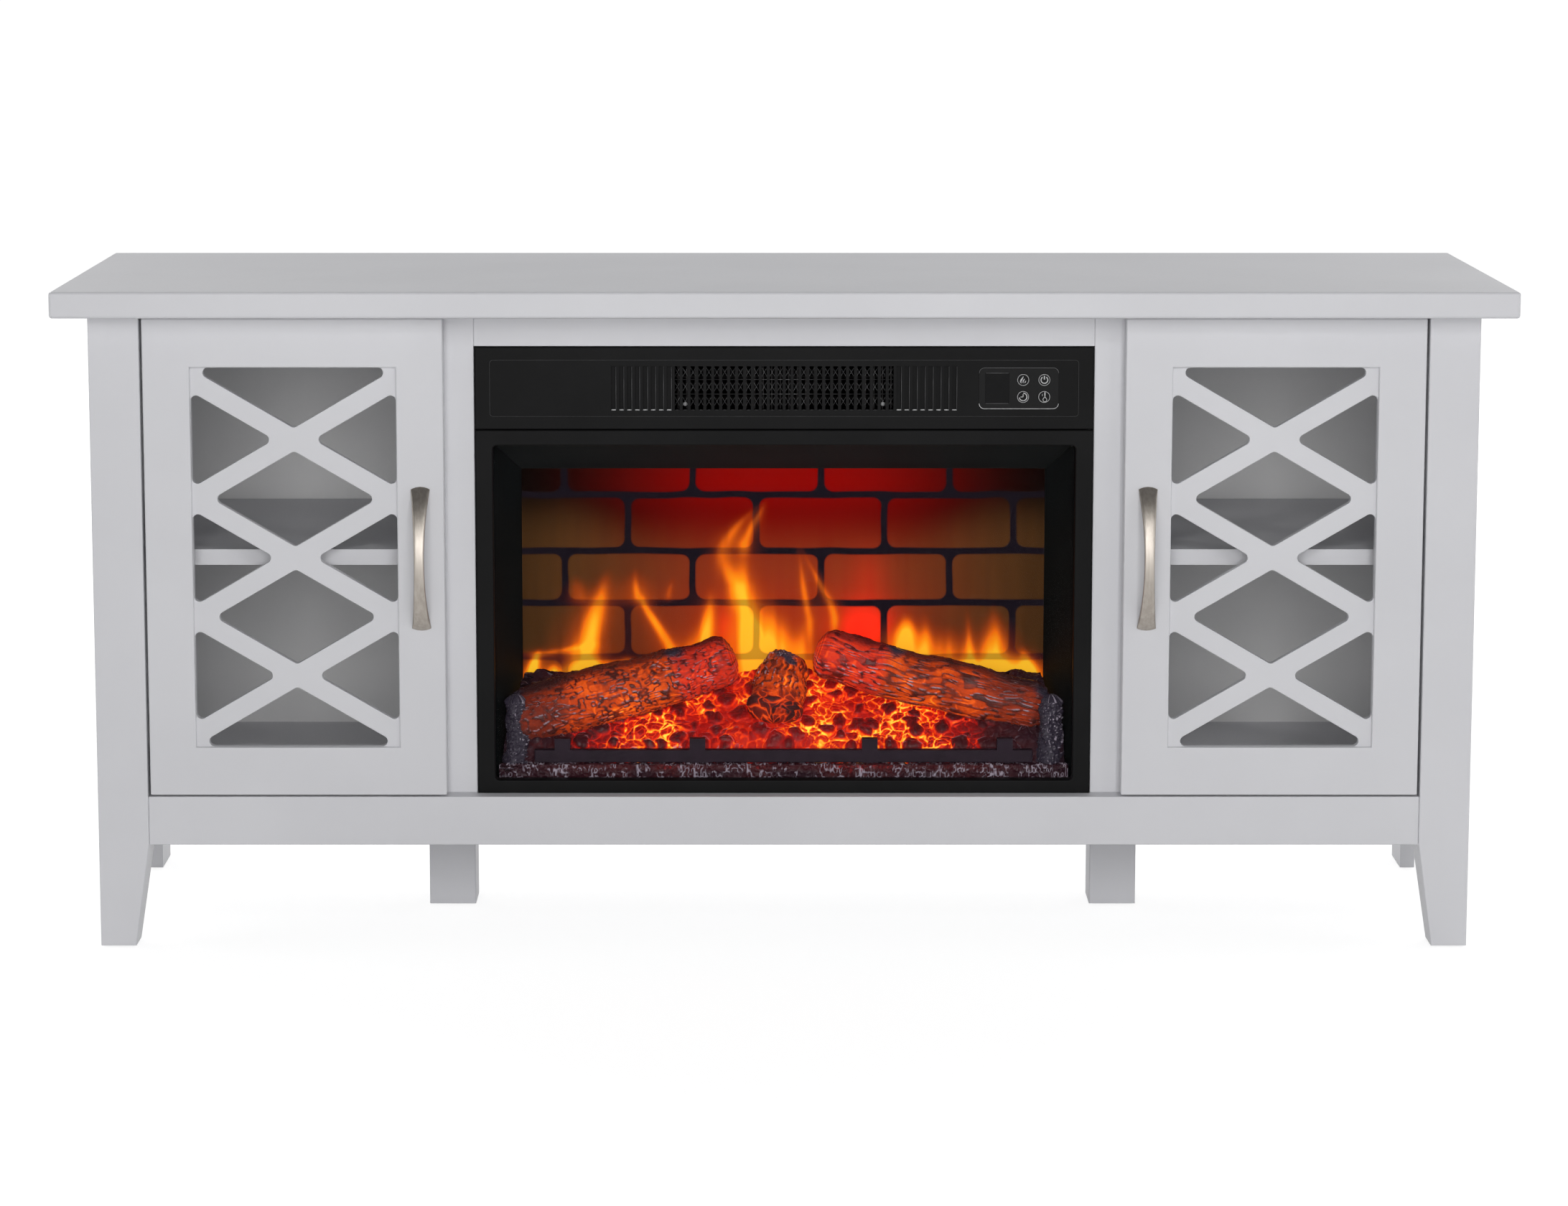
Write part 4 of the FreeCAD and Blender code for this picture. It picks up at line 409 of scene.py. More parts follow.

# %% [markdown]
# Every solid comes with a material slot that says what it is made of. So the finishes are handed out by
# slot, in one loop. Four solids differ from the rest of their slot. The heater's fins and fan wheel lie
# deep in the case and are painted dark as shade. Inside the firebox the hood is tinted a cool grey that
# cancels the red glow on it, and the cheeks are painted blacker than the steel outside, as shade.

# %% Finishes on the solids
OWN_FINISH = {"heating_element": "fins_painted_dark_as_shade", "blower_wheel": "fins_painted_dark_as_shade",
              "firebox_hood": "hood_enamel_tinted_against_glow", "firebox_cheeks": "cheek_enamel_painted_shade"}
for name, node in frame["nodes"].items():
    slot = node.material_slots[0].material.name
    if slot in finishes:
        node.material_slots[0].material = finishes[OWN_FINISH.get(name, slot)]
all_slots = {material["slot"] for material in frame["record"]["materials"]}
print("slots left for new pieces", sorted(all_slots - set(finishes)))

# %% [markdown]
# The handles are cast bows: seen from the side an arch that springs from the door and returns to it,
# seen from the front a strap that is narrow in the middle and flares to its feet, whose ends are gently
# curved. A box with a bevel would need cutting on both curves. As a surface it is simple: a rounded
# section, carried from foot to foot, whose width follows one arc and whose front and back follow two
# others.

# %% Bow handles
HANDLE_HALF_LENGTH = 69.0
HANDLE_END_BULGE = 2.5
HANDLE_HALF_END = 9.0
HANDLE_HALF_WAIST = 4.75
HANDLE_PROJECTION = 28.0
HANDLE_INNER_HALF = 59.0
HANDLE_INNER_RISE = 22.5
HANDLE_MIDDLE = (343.75, -170.0, 378.25)
HANDLE_ROWS = 121
HANDLE_COLUMNS = 48
SECTION_POWER = 0.42


def arc_height(place, half_chord, rise):
    """Height of a circular arc above its chord: the arc's radius follows from the half chord and the rise."""
    radius = (half_chord ** 2 + rise ** 2) / (2 * rise)
    inside = np.maximum(radius ** 2 - np.minimum(np.abs(place), half_chord) ** 2, 0)
    return np.maximum(np.sqrt(inside) - (radius - rise), 0)


def bow_handle(side):
    """Section rounded by a power of sine and cosine, carried up the bow between an outer and an inner arc."""
    up = np.sin(np.linspace(-np.pi / 2, np.pi / 2, HANDLE_ROWS))[:, None]
    turn = np.linspace(0, 2 * np.pi, HANDLE_COLUMNS, endpoint=False)[None, :]
    across = np.sign(np.cos(turn)) * np.abs(np.cos(turn)) ** SECTION_POWER
    through = np.sign(np.sin(turn)) * np.abs(np.sin(turn)) ** SECTION_POWER
    corner = HANDLE_HALF_LENGTH - HANDLE_END_BULGE
    flare = HANDLE_HALF_END - HANDLE_HALF_WAIST
    half_width = HANDLE_HALF_END - arc_height(up * corner, corner, flare)
    x = half_width * across
    z = up * (corner + HANDLE_END_BULGE * (1 - (x / HANDLE_HALF_END) ** 2))
    front = arc_height(z, HANDLE_HALF_LENGTH, HANDLE_PROJECTION)
    back = arc_height(z, HANDLE_INNER_HALF, HANDLE_INNER_RISE)
    y = -(front + back) / 2 - (front - back) / 2 * through
    middle = np.array(HANDLE_MIDDLE) * np.array((side, 1, 1))
    return np.stack(np.broadcast_arrays(x, y, z), axis=-1) + middle


for name, side in (("left", -1), ("right", 1)):
    handle = surface_piece(name + "_bow_handle", [(bow_handle(side), False, True)])
    fit_piece(handle, name + "_door", "satin_nickel", finishes["satin_nickel"], name + "_handle")

# %% [markdown]
# The signs on the buttons are pad printed: a film of ink with crisp edges, a twentieth of a millimetre
# high. Text or curve objects could draw them, but a stroke is simpler: a thin flat bar carried along a
# path, whose width can taper towards its ends. Two helpers make such paths, and a third makes the bar.

# %% Strokes of ink
INK_HEIGHT = 0.05
INK_SINK = 0.02
STROKE_STEPS = 40
BUTTON_FRONT = -153.0


def smooth_path(points, steps=STROKE_STEPS):
    """Curve through points: one polynomial for each coordinate along even steps from 0 to 1."""
    points = np.array(points, float)
    knots = np.linspace(0, 1, len(points))
    degree = min(len(points) - 1, 3)
    place = np.linspace(0, 1, steps)
    return np.stack([np.polyval(np.polyfit(knots, column, degree), place) for column in points.T], axis=-1)


def arc_path(radius, start_degrees, end_degrees, centre=(0, 0), steps=STROKE_STEPS):
    """Points on a circle between two angles."""
    angle = np.radians(np.linspace(start_degrees, end_degrees, steps))
    return np.stack([centre[0] + radius * np.cos(angle), centre[1] + radius * np.sin(angle)], axis=-1)


def ink_stroke(path, width, centre, front=BUTTON_FRONT, taper=0.0, closed=False):
    """Flat bar carried along a path: two points each side of it in front and behind, closed at both ends."""
    along = np.linspace(0, 1, len(path))
    half = width / 2 * (1 - taper * np.abs(2 * along - 1) ** 2)
    lead = np.gradient(path, axis=0)
    if closed:
        lead = np.roll(path, -1, axis=0) - np.roll(path, 1, axis=0)
    lead = lead / np.linalg.norm(lead, axis=1, keepdims=True)
    aside = np.stack([-lead[:, 1], lead[:, 0]], axis=-1) * half[:, None]
    edges = np.stack([path + aside, path - aside, path - aside, path + aside], axis=1)
    depth = np.array([front - INK_HEIGHT, front - INK_HEIGHT, front + INK_SINK, front + INK_SINK])
    x = centre[0] + edges[..., 0]
    z = centre[1] + edges[..., 1]
    bar = np.stack([x, np.broadcast_to(depth, x.shape), z], axis=-1)
    if closed:
        return bar, True, True
    first = np.repeat(bar[:1].mean(axis=1, keepdims=True), 4, axis=1)
    last = np.repeat(bar[-1:].mean(axis=1, keepdims=True), 4, axis=1)
    return np.concatenate([first, bar, last]), False, True


print("ink", INK_HEIGHT, "mm high")

# %% [markdown]
# Each button carries a small pale sign inside a ring: flames, a power sign, a clock and a heat sign. On
# the product they are printed. A picture could be laid over the button, but the picture would be one
# more file to keep, and its edges blur close up. Here a sign is a short table of strokes in
# millimetres, so it stays sharp at any distance. The ink of each button is one piece that rides on that
# button, and goes in with it when it is pressed.

# %% Symbols on the buttons
RING_RADIUS = 5.25
RING_WIDTH = 0.42
RING_STEPS = 72
CRISP_DEGREES = 30
ring_path = arc_path(RING_RADIUS, 0, 360 - 360 / RING_STEPS, steps=RING_STEPS)
symbols = {
    "flame_button": ((226.0, 546.85), [
        (smooth_path([(-1.5, -3.2), (-2.3, -1.2), (-1.2, 0.9), (0.1, 3.4)]), 1.5, 0.75),
        (smooth_path([(0.0, -3.1), (-0.1, -1.6), (0.6, -0.1), (1.5, 1.2)]), 1.0, 0.75),
        (smooth_path([(1.2, -3.0), (1.9, -2.0), (2.6, -0.6)]), 0.9, 0.75)]),
    "power_button": ((246.0, 546.85), [
        (arc_path(3.2, 55, -235), 0.95, 0.0),
        (smooth_path([(0, 0.3), (0, 3.9)]), 1.15, 0.0)]),
    "timer_button": ((226.0, 530.65), [
        (arc_path(3.6, 88, -170), 0.9, 0.0),
        (smooth_path([(0, -0.3), (0, 2.6)]), 0.8, 0.3),
        (smooth_path([(0.3, 0), (-2.5, 0)]), 0.8, 0.3)]),
    "heat_button": ((246.0, 530.65), [
        (smooth_path([(0.6, 0.9), (0.6, 4.6)]), 1.1, 0.1),
        (smooth_path([(0.5, 0.6), (-0.2, -0.8), (-1.1, -2.0), (-1.0, -3.4)]), 0.6, 0.2),
        (smooth_path([(0.7, 0.6), (1.4, -0.8), (2.3, -2.0), (2.2, -3.4)]), 0.6, 0.2),
        (arc_path(1.6, 180, 360, centre=(0.6, -3.0)), 0.6, 0.0),
        (smooth_path([(-1.8, 0.8), (-1.8, 2.8)]), 0.5, 0.3)]),
}
ink = grained_finish(
    "pale_printed_ink", (0.400, 0.402, 0.408), (0.500, 0.502, 0.508), (3, 3, 3), (0.2, 0.2, 0.2),
    (0.45, 0.6), 0.004, {})
for button, (centre, strokes) in symbols.items():
    bars = [ink_stroke(path, width, centre, taper=taper) for path, width, taper in strokes]
    bars.append(ink_stroke(ring_path, RING_WIDTH, centre, closed=True))
    symbol = surface_piece(button + "_symbol", bars, sharp_degrees=CRISP_DEGREES)
    fit_piece(symbol, button, "button_plastic", ink)

# %% [markdown]
# Light catches the edges of the control strip. On the moulding these are tiny rounded edges. A bevel on
# the solid would round every edge alike. A thin round bar carried along just the edges that show gives
# them a true shape, and its pale finish paints the highlight that the light puts on them.

# %% Round bars along edges
BAR_STEPS = 10
CORNER_STEPS = 8


def round_bar(path, radius, closed=False):
    """Circle carried along a path in space, closed to a point at both ends or joined to its own start."""
    lead = np.gradient(path, axis=0)
    if closed:
        lead = np.roll(path, -1, axis=0) - np.roll(path, 1, axis=0)
    lead = lead / np.linalg.norm(lead, axis=1, keepdims=True)
    aside = np.cross(lead, (0.0, 1.0, 0.0))
    aside = aside / np.linalg.norm(aside, axis=1, keepdims=True)
    rise = np.cross(aside, lead)
    angle = np.linspace(0, 2 * np.pi, BAR_STEPS, endpoint=False)[None, :, None]
    ring = path[:, None] + radius * (np.cos(angle) * aside[:, None] + np.sin(angle) * rise[:, None])
    if closed:
        return ring, True, True
    first = np.repeat(path[:1, None], BAR_STEPS, axis=1)
    last = np.repeat(path[-1:, None], BAR_STEPS, axis=1)
    return np.concatenate([first, ring, last]), False, True


def rounded_outline(middle, half_width, half_height, corner, y):
    """Closed path round a rectangle with round corners: four quarter circles, joined by straight sides."""
    angle = np.radians(np.arange(0, 360, 90)[:, None] + np.linspace(0, 90, CORNER_STEPS)[None, :])
    side_x = np.array((1, -1, -1, 1))[:, None] * (half_width - corner)
    side_z = np.array((1, 1, -1, -1))[:, None] * (half_height - corner)
    x = middle[0] + side_x + corner * np.cos(angle)
    z = middle[1] + side_z + corner * np.sin(angle)
    return np.stack(np.broadcast_arrays(x, y, z), axis=-1).reshape(-1, 3)


print("bars with", BAR_STEPS, "sides")

# %% [markdown]
# The outlet is a row of upright slots. The outer ones are blind, and the light catches their sills as
# short silver dashes, which a pale finish paints on as highlight. The middle ones are open to the heater,
# and their sills are thinner with a dim painted highlight, because the guard lies behind them. Each sill
# is one short bar. The slats between the blind slots get a fine grey painted highlight on one edge,
# without which black slots in a black strip would be lost.

# %% Sills and slat edges of the outlet
SLOT_PITCH = 7.5
SLOT_COUNT = 44
BLIND_SLOTS = 8
SLOT_HALF_WIDTH = 2.15
SLOT_TOP_Z = 559.4
SILL_Z = 517.95
SILL_Y = -151.0
SILL_RADIUS = 0.75
OPEN_SILL_RADIUS = 0.4
SLAT_EDGE_RADIUS = 0.26
SLAT_EDGE_Y = -152.0
# The edge finishes below are painted highlights: their pale, dim and grey colours stand for light catching
# the edges.
painted_highlight_silver = grained_finish(
    "silver_painted_edge_highlight", (0.360, 0.362, 0.366), (0.520, 0.522, 0.526), (4, 4, 4), (0.4, 0.4, 0.4),
    (0.30, 0.45), 0.01, {"Specular IOR Level": 0.6})
painted_dim_edge = grained_finish(
    "dim_painted_edge_highlight", (0.020, 0.020, 0.021), (0.034, 0.034, 0.035), (9, 9, 9), (0.4, 0.4, 0.4),
    (0.35, 0.5), 0.008, {"Specular IOR Level": 0.4})
painted_grey_edge = grained_finish(
    "grey_painted_edge_highlight", (0.055, 0.055, 0.057), (0.080, 0.080, 0.082), (9, 9, 9), (0.4, 0.4, 0.4),
    (0.35, 0.5), 0.008, {"Specular IOR Level": 0.4})
slot_numbers = np.arange(SLOT_COUNT)
slot_places = (slot_numbers - (SLOT_COUNT - 1) / 2) * SLOT_PITCH
blind = np.minimum(slot_numbers, SLOT_COUNT - 1 - slot_numbers) < BLIND_SLOTS
sill_ends = np.array([(-SLOT_HALF_WIDTH, SILL_Y, SILL_Z), (SLOT_HALF_WIDTH, SILL_Y, SILL_Z)])
slat_ends = np.array([(SLOT_HALF_WIDTH, SLAT_EDGE_Y, SILL_Z), (SLOT_HALF_WIDTH, SLAT_EDGE_Y, SLOT_TOP_Z)])
aside = np.stack(np.broadcast_arrays(slot_places, 0.0, 0.0), axis=-1)[:, None]
outlet_edges = {
    "outlet_sills": (aside[blind] + sill_ends, SILL_RADIUS, painted_highlight_silver),
    "open_sills": (aside[~blind] + sill_ends, OPEN_SILL_RADIUS, painted_dim_edge),
    "slat_edges": (aside[blind] + slat_ends, SLAT_EDGE_RADIUS, painted_grey_edge),
}
for name, (edges, radius, finish) in outlet_edges.items():
    edge_piece = surface_piece(name, [round_bar(ends, radius) for ends in edges])
    fit_piece(edge_piece, "cabinet", "black_frame", finish)

# %% [markdown]
# The control plate and the display sit in the strip with fine raised lips, and the strip itself has a
# shallow sunken panel. The lower lip of the plate faces the light, so a pale finish paints its highlight
# on, and the others get a grey or nearly black painted highlight. An outline of four quarter circles
# gives the path for all of them, and a part of that path gives the lower lip alone.

# %% Lips of the control plate
STRIP_MIDDLE_Z = 538.75
SUNK_PANEL = (278.5, 26.75, 3.0, -152.35)
PLATE_MIDDLE = (222.0, STRIP_MIDDLE_Z)
PLATE_LIP = (37.5, 19.5, 5.0, -152.1)
DISPLAY_MIDDLE = (201.5, STRIP_MIDDLE_Z)
DISPLAY_LIP = (10.8, 14.5, -152.1)
LIP_RADIUS = 0.32
FINE_LIP_RADIUS = 0.2
plate_outline = rounded_outline(PLATE_MIDDLE, *PLATE_LIP)
upper_lip = plate_outline[:2 * CORNER_STEPS]
lower_lip = plate_outline[2 * CORNER_STEPS:]
sunk_outline = rounded_outline((0.0, STRIP_MIDDLE_Z), *SUNK_PANEL)
display_half, display_rise, display_y = DISPLAY_LIP
display_ends = np.array([(-display_half, 0.0, 0.0), (display_half, 0.0, 0.0)])
display_middle = np.array((DISPLAY_MIDDLE[0], display_y, DISPLAY_MIDDLE[1]))
lips = [round_bar(upper_lip, LIP_RADIUS)]
lips += [round_bar(display_middle + display_ends + (0.0, 0.0, rise), LIP_RADIUS)
         for rise in (-display_rise, display_rise)]
plate_lip = surface_piece("control_plate_lip", [round_bar(lower_lip, LIP_RADIUS)])
fit_piece(plate_lip, "cabinet", "panel_plastic", painted_highlight_silver)
panel_edge = surface_piece("panel_edge", [round_bar(sunk_outline, FINE_LIP_RADIUS, True)])
fit_piece(panel_edge, "cabinet", "black_frame", painted_dim_edge)
fit_piece(surface_piece("moulded_lips", lips), "cabinet", "panel_plastic", painted_grey_edge)

# %% [markdown]
# The heater blows through the open slots, so fingers have to be kept out. Behind them stands a guard of
# expanded steel: a sheet that was slit and pulled until it opened into diamonds. Seen through the slots
# it is a row of small crosses that catch the light. Its strands are zigzags, so each one is a thin bar
# carried along a folded line, and every second one is folded the other way.

# %% Expanded steel guard
guard_low, guard_high = (np.array(corner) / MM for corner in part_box("heater_guard"))
STRAND_RADIUS = 0.42
STRAND_ROWS = 3
CROSS_HEIGHT = 13.0
CROSS_PITCH = 14.0
GUARD_RIM = 1.0
guard_y = (guard_low[1] + guard_high[1]) / 2
between_slots = slot_places[BLIND_SLOTS - 1:SLOT_COUNT - BLIND_SLOTS + 1] + SLOT_PITCH / 2
between_slots = between_slots[between_slots < guard_high[0] - GUARD_RIM]
between_slots = between_slots[between_slots > guard_low[0] + GUARD_RIM]
fold_way = np.where(np.arange(len(between_slots)) % 2, 1.0, -1.0)
row_heights = STRIP_MIDDLE_Z + (np.arange(STRAND_ROWS) - (STRAND_ROWS - 1) / 2) * CROSS_PITCH
strands = []
for height in row_heights:
    for way in (-1, 1):
        folds = height + way * fold_way * CROSS_HEIGHT / 2
        zigzag = np.stack([between_slots, np.full(len(folds), guard_y), folds], axis=-1)
        strands.append(round_bar(zigzag, STRAND_RADIUS))
rod_heights = list(row_heights[:-1] + CROSS_PITCH / 2) + [guard_low[2] + GUARD_RIM, guard_high[2] - GUARD_RIM]
for height in rod_heights:
    rod = np.array([(guard_low[0], guard_y, height), (guard_high[0], guard_y, height)])
    strands.append(round_bar(rod, GUARD_RIM if height in rod_heights[-2:] else STRAND_RADIUS))
for place in (guard_low[0] + GUARD_RIM, guard_high[0] - GUARD_RIM):
    rod = np.array([(place, guard_y, guard_low[2]), (place, guard_y, guard_high[2])])
    strands.append(round_bar(rod, GUARD_RIM))
guard_finish = grained_finish(
    "dark_expanded_steel", (0.085, 0.085, 0.088), (0.150, 0.150, 0.154), (6, 6, 6), (0.5, 0.5, 0.5),
    (0.30, 0.45), 0.01, {"Metallic": 0.5})
fit_piece(surface_piece("expanded_guard", strands), "cabinet", "black_steel", guard_finish, "heater_guard")

# %% [markdown]
# Two small screws hold the guard, and they show as bright dots low in the outlet. From the front a pan
# head is a round dome, so it is a flattened ball: circles that grow from one pole and shrink to the
# other. The drive recess is too small to be seen here.

# %% Screws of the guard
HEAD_STEPS = 12
HEAD_HALF_WIDTH = 2.1
HEAD_HALF_DEPTH = 1.1
HEAD_Z = 522.3


def pan_head(centre, half_width, half_depth):
    """Flattened ball: circles from one pole to the other, with the poles on the line of sight."""
    polar = np.linspace(0, np.pi, HEAD_STEPS)[:, None]
    turn = np.linspace(0, 2 * np.pi, 2 * HEAD_STEPS, endpoint=False)[None, :]
    x = centre[0] + half_width * np.sin(polar) * np.cos(turn)
    y = centre[1] - half_depth * np.cos(polar)
    z = centre[2] + half_width * np.sin(polar) * np.sin(turn)
    return np.stack(np.broadcast_arrays(x, y, z), axis=-1), False, True


screw_places = (slot_places[BLIND_SLOTS + 1], slot_places[SLOT_COUNT - BLIND_SLOTS - 2])
heads = [pan_head((place, guard_y - STRAND_RADIUS, HEAD_Z), HEAD_HALF_WIDTH, HEAD_HALF_DEPTH)
         for place in screw_places]
# The heads are silver, and the same pale finish paints their glint on as a highlight.
fit_piece(surface_piece("guard_screws", heads), "cabinet", "black_steel", painted_highlight_silver)

# %% [markdown]
# The fan draws its air through the vents of the rear cover. A pleated dust filter of dark fleece stands
# just inside them, so nobody can see from the outlet slots right through to the daylight behind. A
# pleated sheet is a zigzag line carried upwards, with its two faces a little apart.

# %% Pleated dust filter
FILTER_HALF = 100.0
FILTER_Z = (490.0, 562.0)
FILTER_Y = -7.4
PLEAT_DEPTH = 2.2
PLEAT_COUNT = 40
FLEECE_THICK = 0.8
FILTER_ROWS = 13


def pleated_sheet():
    """Closed strip: a zigzag forwards on one face and back on the other, carried from sill to top."""
    across = np.linspace(-FILTER_HALF, FILTER_HALF, 2 * PLEAT_COUNT + 1)
    zigzag = FILTER_Y + PLEAT_DEPTH * (np.arange(len(across)) % 2)
    loop_x = np.concatenate([across, across[::-1]])
    loop_y = np.concatenate([zigzag, zigzag[::-1] + FLEECE_THICK])
    z = np.linspace(*FILTER_Z, FILTER_ROWS)[:, None]
    walls = np.stack(np.broadcast_arrays(loop_x[None, :], loop_y[None, :], z), axis=-1)
    half = len(across)
    rims = [np.stack([row[:half], row[half:][::-1]]) for row in (walls[0], walls[-1])]
    return [(walls, False, True)] + [(rim, False, False) for rim in rims]


fleece = grained_finish(
    "dark_filter_fleece", (0.006, 0.006, 0.0065), (0.011, 0.011, 0.0115), (9, 9, 9), (0.5, 0.5, 0.5),
    (0.75, 0.95), 0.15, {"Specular IOR Level": 0.05})
dust_filter = surface_piece("pleated_filter", pleated_sheet(), sharp_degrees=CRISP_DEGREES)
fit_piece(dust_filter, "cabinet", "black_steel", fleece)

# %% [markdown]
# The back of the fire is a translucent film printed with a brick wall. Red lamps light it from above,
# and a turning rod throws moving light on it from below, which looks like flames. Here the film is one
# flat sheet of points, and each point carries four worked-out values: how far it lies inside a brick,
# how much red and how much amber light reaches it, and how hot the flame is there. The shader turns
# them into colour, so the bricks keep sharp edges.

# %% Bricks on the film
COURSE_LINES = (204.4, 258.7, 313.0, 364.4, 420.0, 474.0)
BRICK_LENGTH = 125.5
FIRST_JOINTS = (-152.0, -213.8)
MORTAR_HALF = 3.2
BRICK_CORNER = 8.5


def inside_brick(x, z):
    """Distance inside the edge of a brick with round corners, in mm; below zero it is mortar."""
    lines = np.array(COURSE_LINES)
    course = np.clip(np.searchsorted(lines, z) - 1, 0, len(lines) - 2)
    half_height = (lines[course + 1] - lines[course]) / 2 - MORTAR_HALF
    above = np.abs(z - (lines[course + 1] + lines[course]) / 2)
    joint = np.array(FIRST_JOINTS)[1 - course % 2]
    aside = np.abs((x - joint) % BRICK_LENGTH - BRICK_LENGTH / 2)
    reach_x = aside - (BRICK_LENGTH / 2 - MORTAR_HALF - BRICK_CORNER)
    reach_z = above - (half_height - BRICK_CORNER)
    outside = np.hypot(np.maximum(reach_x, 0), np.maximum(reach_z, 0))
    within = np.minimum(np.maximum(reach_x, reach_z), 0)
    return BRICK_CORNER - (outside + within)


print("courses of brick", len(COURSE_LINES) - 1)

# %% [markdown]
# The flames are light thrown on the film, so they have no edge, only a fall of brightness. A picture of
# flames could be mapped on the sheet, but here a short table says where each tongue starts, how it
# bends, how wide and bright it is and where it fades. A tongue is a bell curve across its bending
# middle line.

# %% Tongues of flame
FLAME_TIP = 1.04
FOOT_FADE = 0.4
TIP_WIDTH = 0.25
TIP_NARROWING = 0.7
FLAMES = (
    (((-26, 250), (-35, 300), (-39, 338), (-33, 386)), 22, 0.98, 0.7),
    (((-46, 330), (-56, 356), (-50, 382), (-17, 416)), 15, 0.46, 0.5),
    (((-38, 372), (-29, 394), (-14, 418)), 10, 0.46, 0.6),
    (((-18, 270), (-18, 310), (-22, 345)), 26, 0.26, 0.8),
    (((-76, 250), (-73, 290), (-72, 334)), 14, 0.90, 0.6),
    (((-92, 250), (-82, 300)), 22, 0.48, 0.9),
    (((-106, 252), (-121, 285), (-138, 318), (-146, 352)), 11, 0.72, 0.7),
    (((-140, 318), (-146, 352)), 24, 0.28, 0.8),
    (((-196, 262), (-186, 295), (-178, 320), (-173, 352)), 23, 0.86, 0.7),
    (((-200, 318), (-204, 345)), 14, 0.24, 0.8),
    (((-250, 214), (-247, 240), (-240, 268)), 15, 1.05, 0.35),
    (((-240, 262), (-205, 268), (-188, 276)), 26, 0.30, 0.8),
    (((-222, 232), (-226, 254)), 14, 0.62, 0.6),
    (((-150, 240), (-152, 262)), 26, 0.95, 0.7),
    (((-190, 240), (-185, 262)), 46, 0.66, 0.8),
    (((-110, 320), (-106, 342)), 6, 0.30, 0.8),
    (((-8, 250), (-8, 282), (-10, 322)), 42, 0.56, 0.95),
    (((20, 250), (24, 300)), 26, 0.44, 0.9),
    (((29, 296), (20, 340), (11, 378)), 8, 0.50, 0.7),
    (((52, 296), (40, 330), (22, 360), (11, 378)), 8, 0.54, 0.7),
    (((118, 250), (119, 280), (123, 308)), 20, 1.1, 0.55),
    (((136, 258), (140, 312)), 12, 0.52, 0.9),
    (((158, 250), (160, 296)), 44, 0.50, 0.9),
    (((186, 240), (184, 280), (182, 318)), 9, 0.58, 0.9),
    (((206, 236), (209, 275), (207, 316)), 19, 0.98, 0.8),
    (((250, 226), (241, 250), (234, 272)), 13, 0.98, 0.6),
    (((222, 234), (224, 268)), 40, 0.62, 0.8),
    (((180, 236), (182, 262)), 50, 0.60, 0.8),
)
RED_GLOWS = ((79, 282, 27, 26, 3.8), (-52, 282, 16, 24, 2.6), (84, 338, 18, 26, 0.5),
             (0, 300, 120, 40, 0.25))


def flame_tongue(x, z, path, width, strength, fade):
    """Bell curve across a bending middle line, narrowing to its tip and fading near the end of its climb."""
    path = np.array(path, float)
    foot, tip = path[0, 1], path[-1, 1]
    middle = np.polyval(np.polyfit(path[:, 1], path[:, 0], len(path) - 1), np.clip(z, foot, tip))
    climb = (z - foot) / (tip - foot)
    half = width / 2 * (TIP_WIDTH + (1 - TIP_WIDTH) * np.clip(1 - climb, 0, 1) ** TIP_NARROWING)
    bell = strength * np.exp(-((x - middle) / half) ** 2)
    return bell * eased(climb / FOOT_FADE + 1) * eased((FLAME_TIP - climb) / fade)


def red_glow(x, z, middle_x, middle_z, reach_x, reach_z, strength):
    """Round bell of red light."""
    return strength * np.exp(-((x - middle_x) / reach_x) ** 2 - ((z - middle_z) / reach_z) ** 2)


print("tongues of flame", len(FLAMES), "red glows", len(RED_GLOWS))

# %% [markdown]
# Now every point of the film gets its four marks. Each tongue is laid down three times: a bright core,
# a halo and a wide faint aura. A slow noise sways the flames and makes the printed edges of the bricks
# wobble a little. Red is strongest in the middle and at the top, and amber fades upwards.

# %% Marks on the film
screen_low, screen_high = (np.array(corner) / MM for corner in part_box("flame_screen"))
SCREEN_STEP = 1.9
PRINT_WOBBLE = 1.6
FLAME_SWAY = 7.0
FLAME_LAYERS = ((1.15, 0.72), (2.6, 0.26), (5.5, 0.085))
RED_MIDDLE = 4
RED_HALF = 150.0
RED_BASE = 0.50
RED_TOP_Z = 400
RED_TOP_RUN = 35
RED_TOP_SHARE = 0.28
AMBER_FADE_Z = 345.0
AMBER_FADE_HEIGHT = 60.0
AMBER_SIDE_RISE = 25.0
AMBER_SIDE = (120, 100)
AMBER_CORNER = (200, 60, 0.25)
STREAK_AMBER = (0.86, 0.2)
STREAK_FLAME = (0.86, 0.28)
screen_rows = int((screen_high[2] - screen_low[2]) / SCREEN_STEP)
screen_columns = int((screen_high[0] - screen_low[0]) / SCREEN_STEP)
x, z = np.broadcast_arrays(np.linspace(screen_low[0], screen_high[0], screen_columns)[None, :],
                           np.linspace(screen_low[2], screen_high[2], screen_rows)[:, None])
x_share = (x - screen_low[0]) / (screen_high[0] - screen_low[0])
z_share = (z - screen_low[2]) / (screen_high[2] - screen_low[2])
wobble_x = (lattice_noise(z_share, x_share, 18, 30, 3) - 0.5) * PRINT_WOBBLE
wobble_z = (lattice_noise(x_share, z_share, 22, 8, 4) - 0.5) * PRINT_WOBBLE
sway = (lattice_noise(x_share, z_share, 16, 7, 5) - 0.5) * FLAME_SWAY
streaks = lattice_noise(x_share, z_share, 110, 5, 6)
flames = sum(flame_tongue(x + sway, z, path, width * spread, strength * share, fade)
             for path, width, strength, fade in FLAMES
             for spread, share in FLAME_LAYERS)
red_fall = np.exp(-(np.abs(x - RED_MIDDLE) / RED_HALF) ** 3)
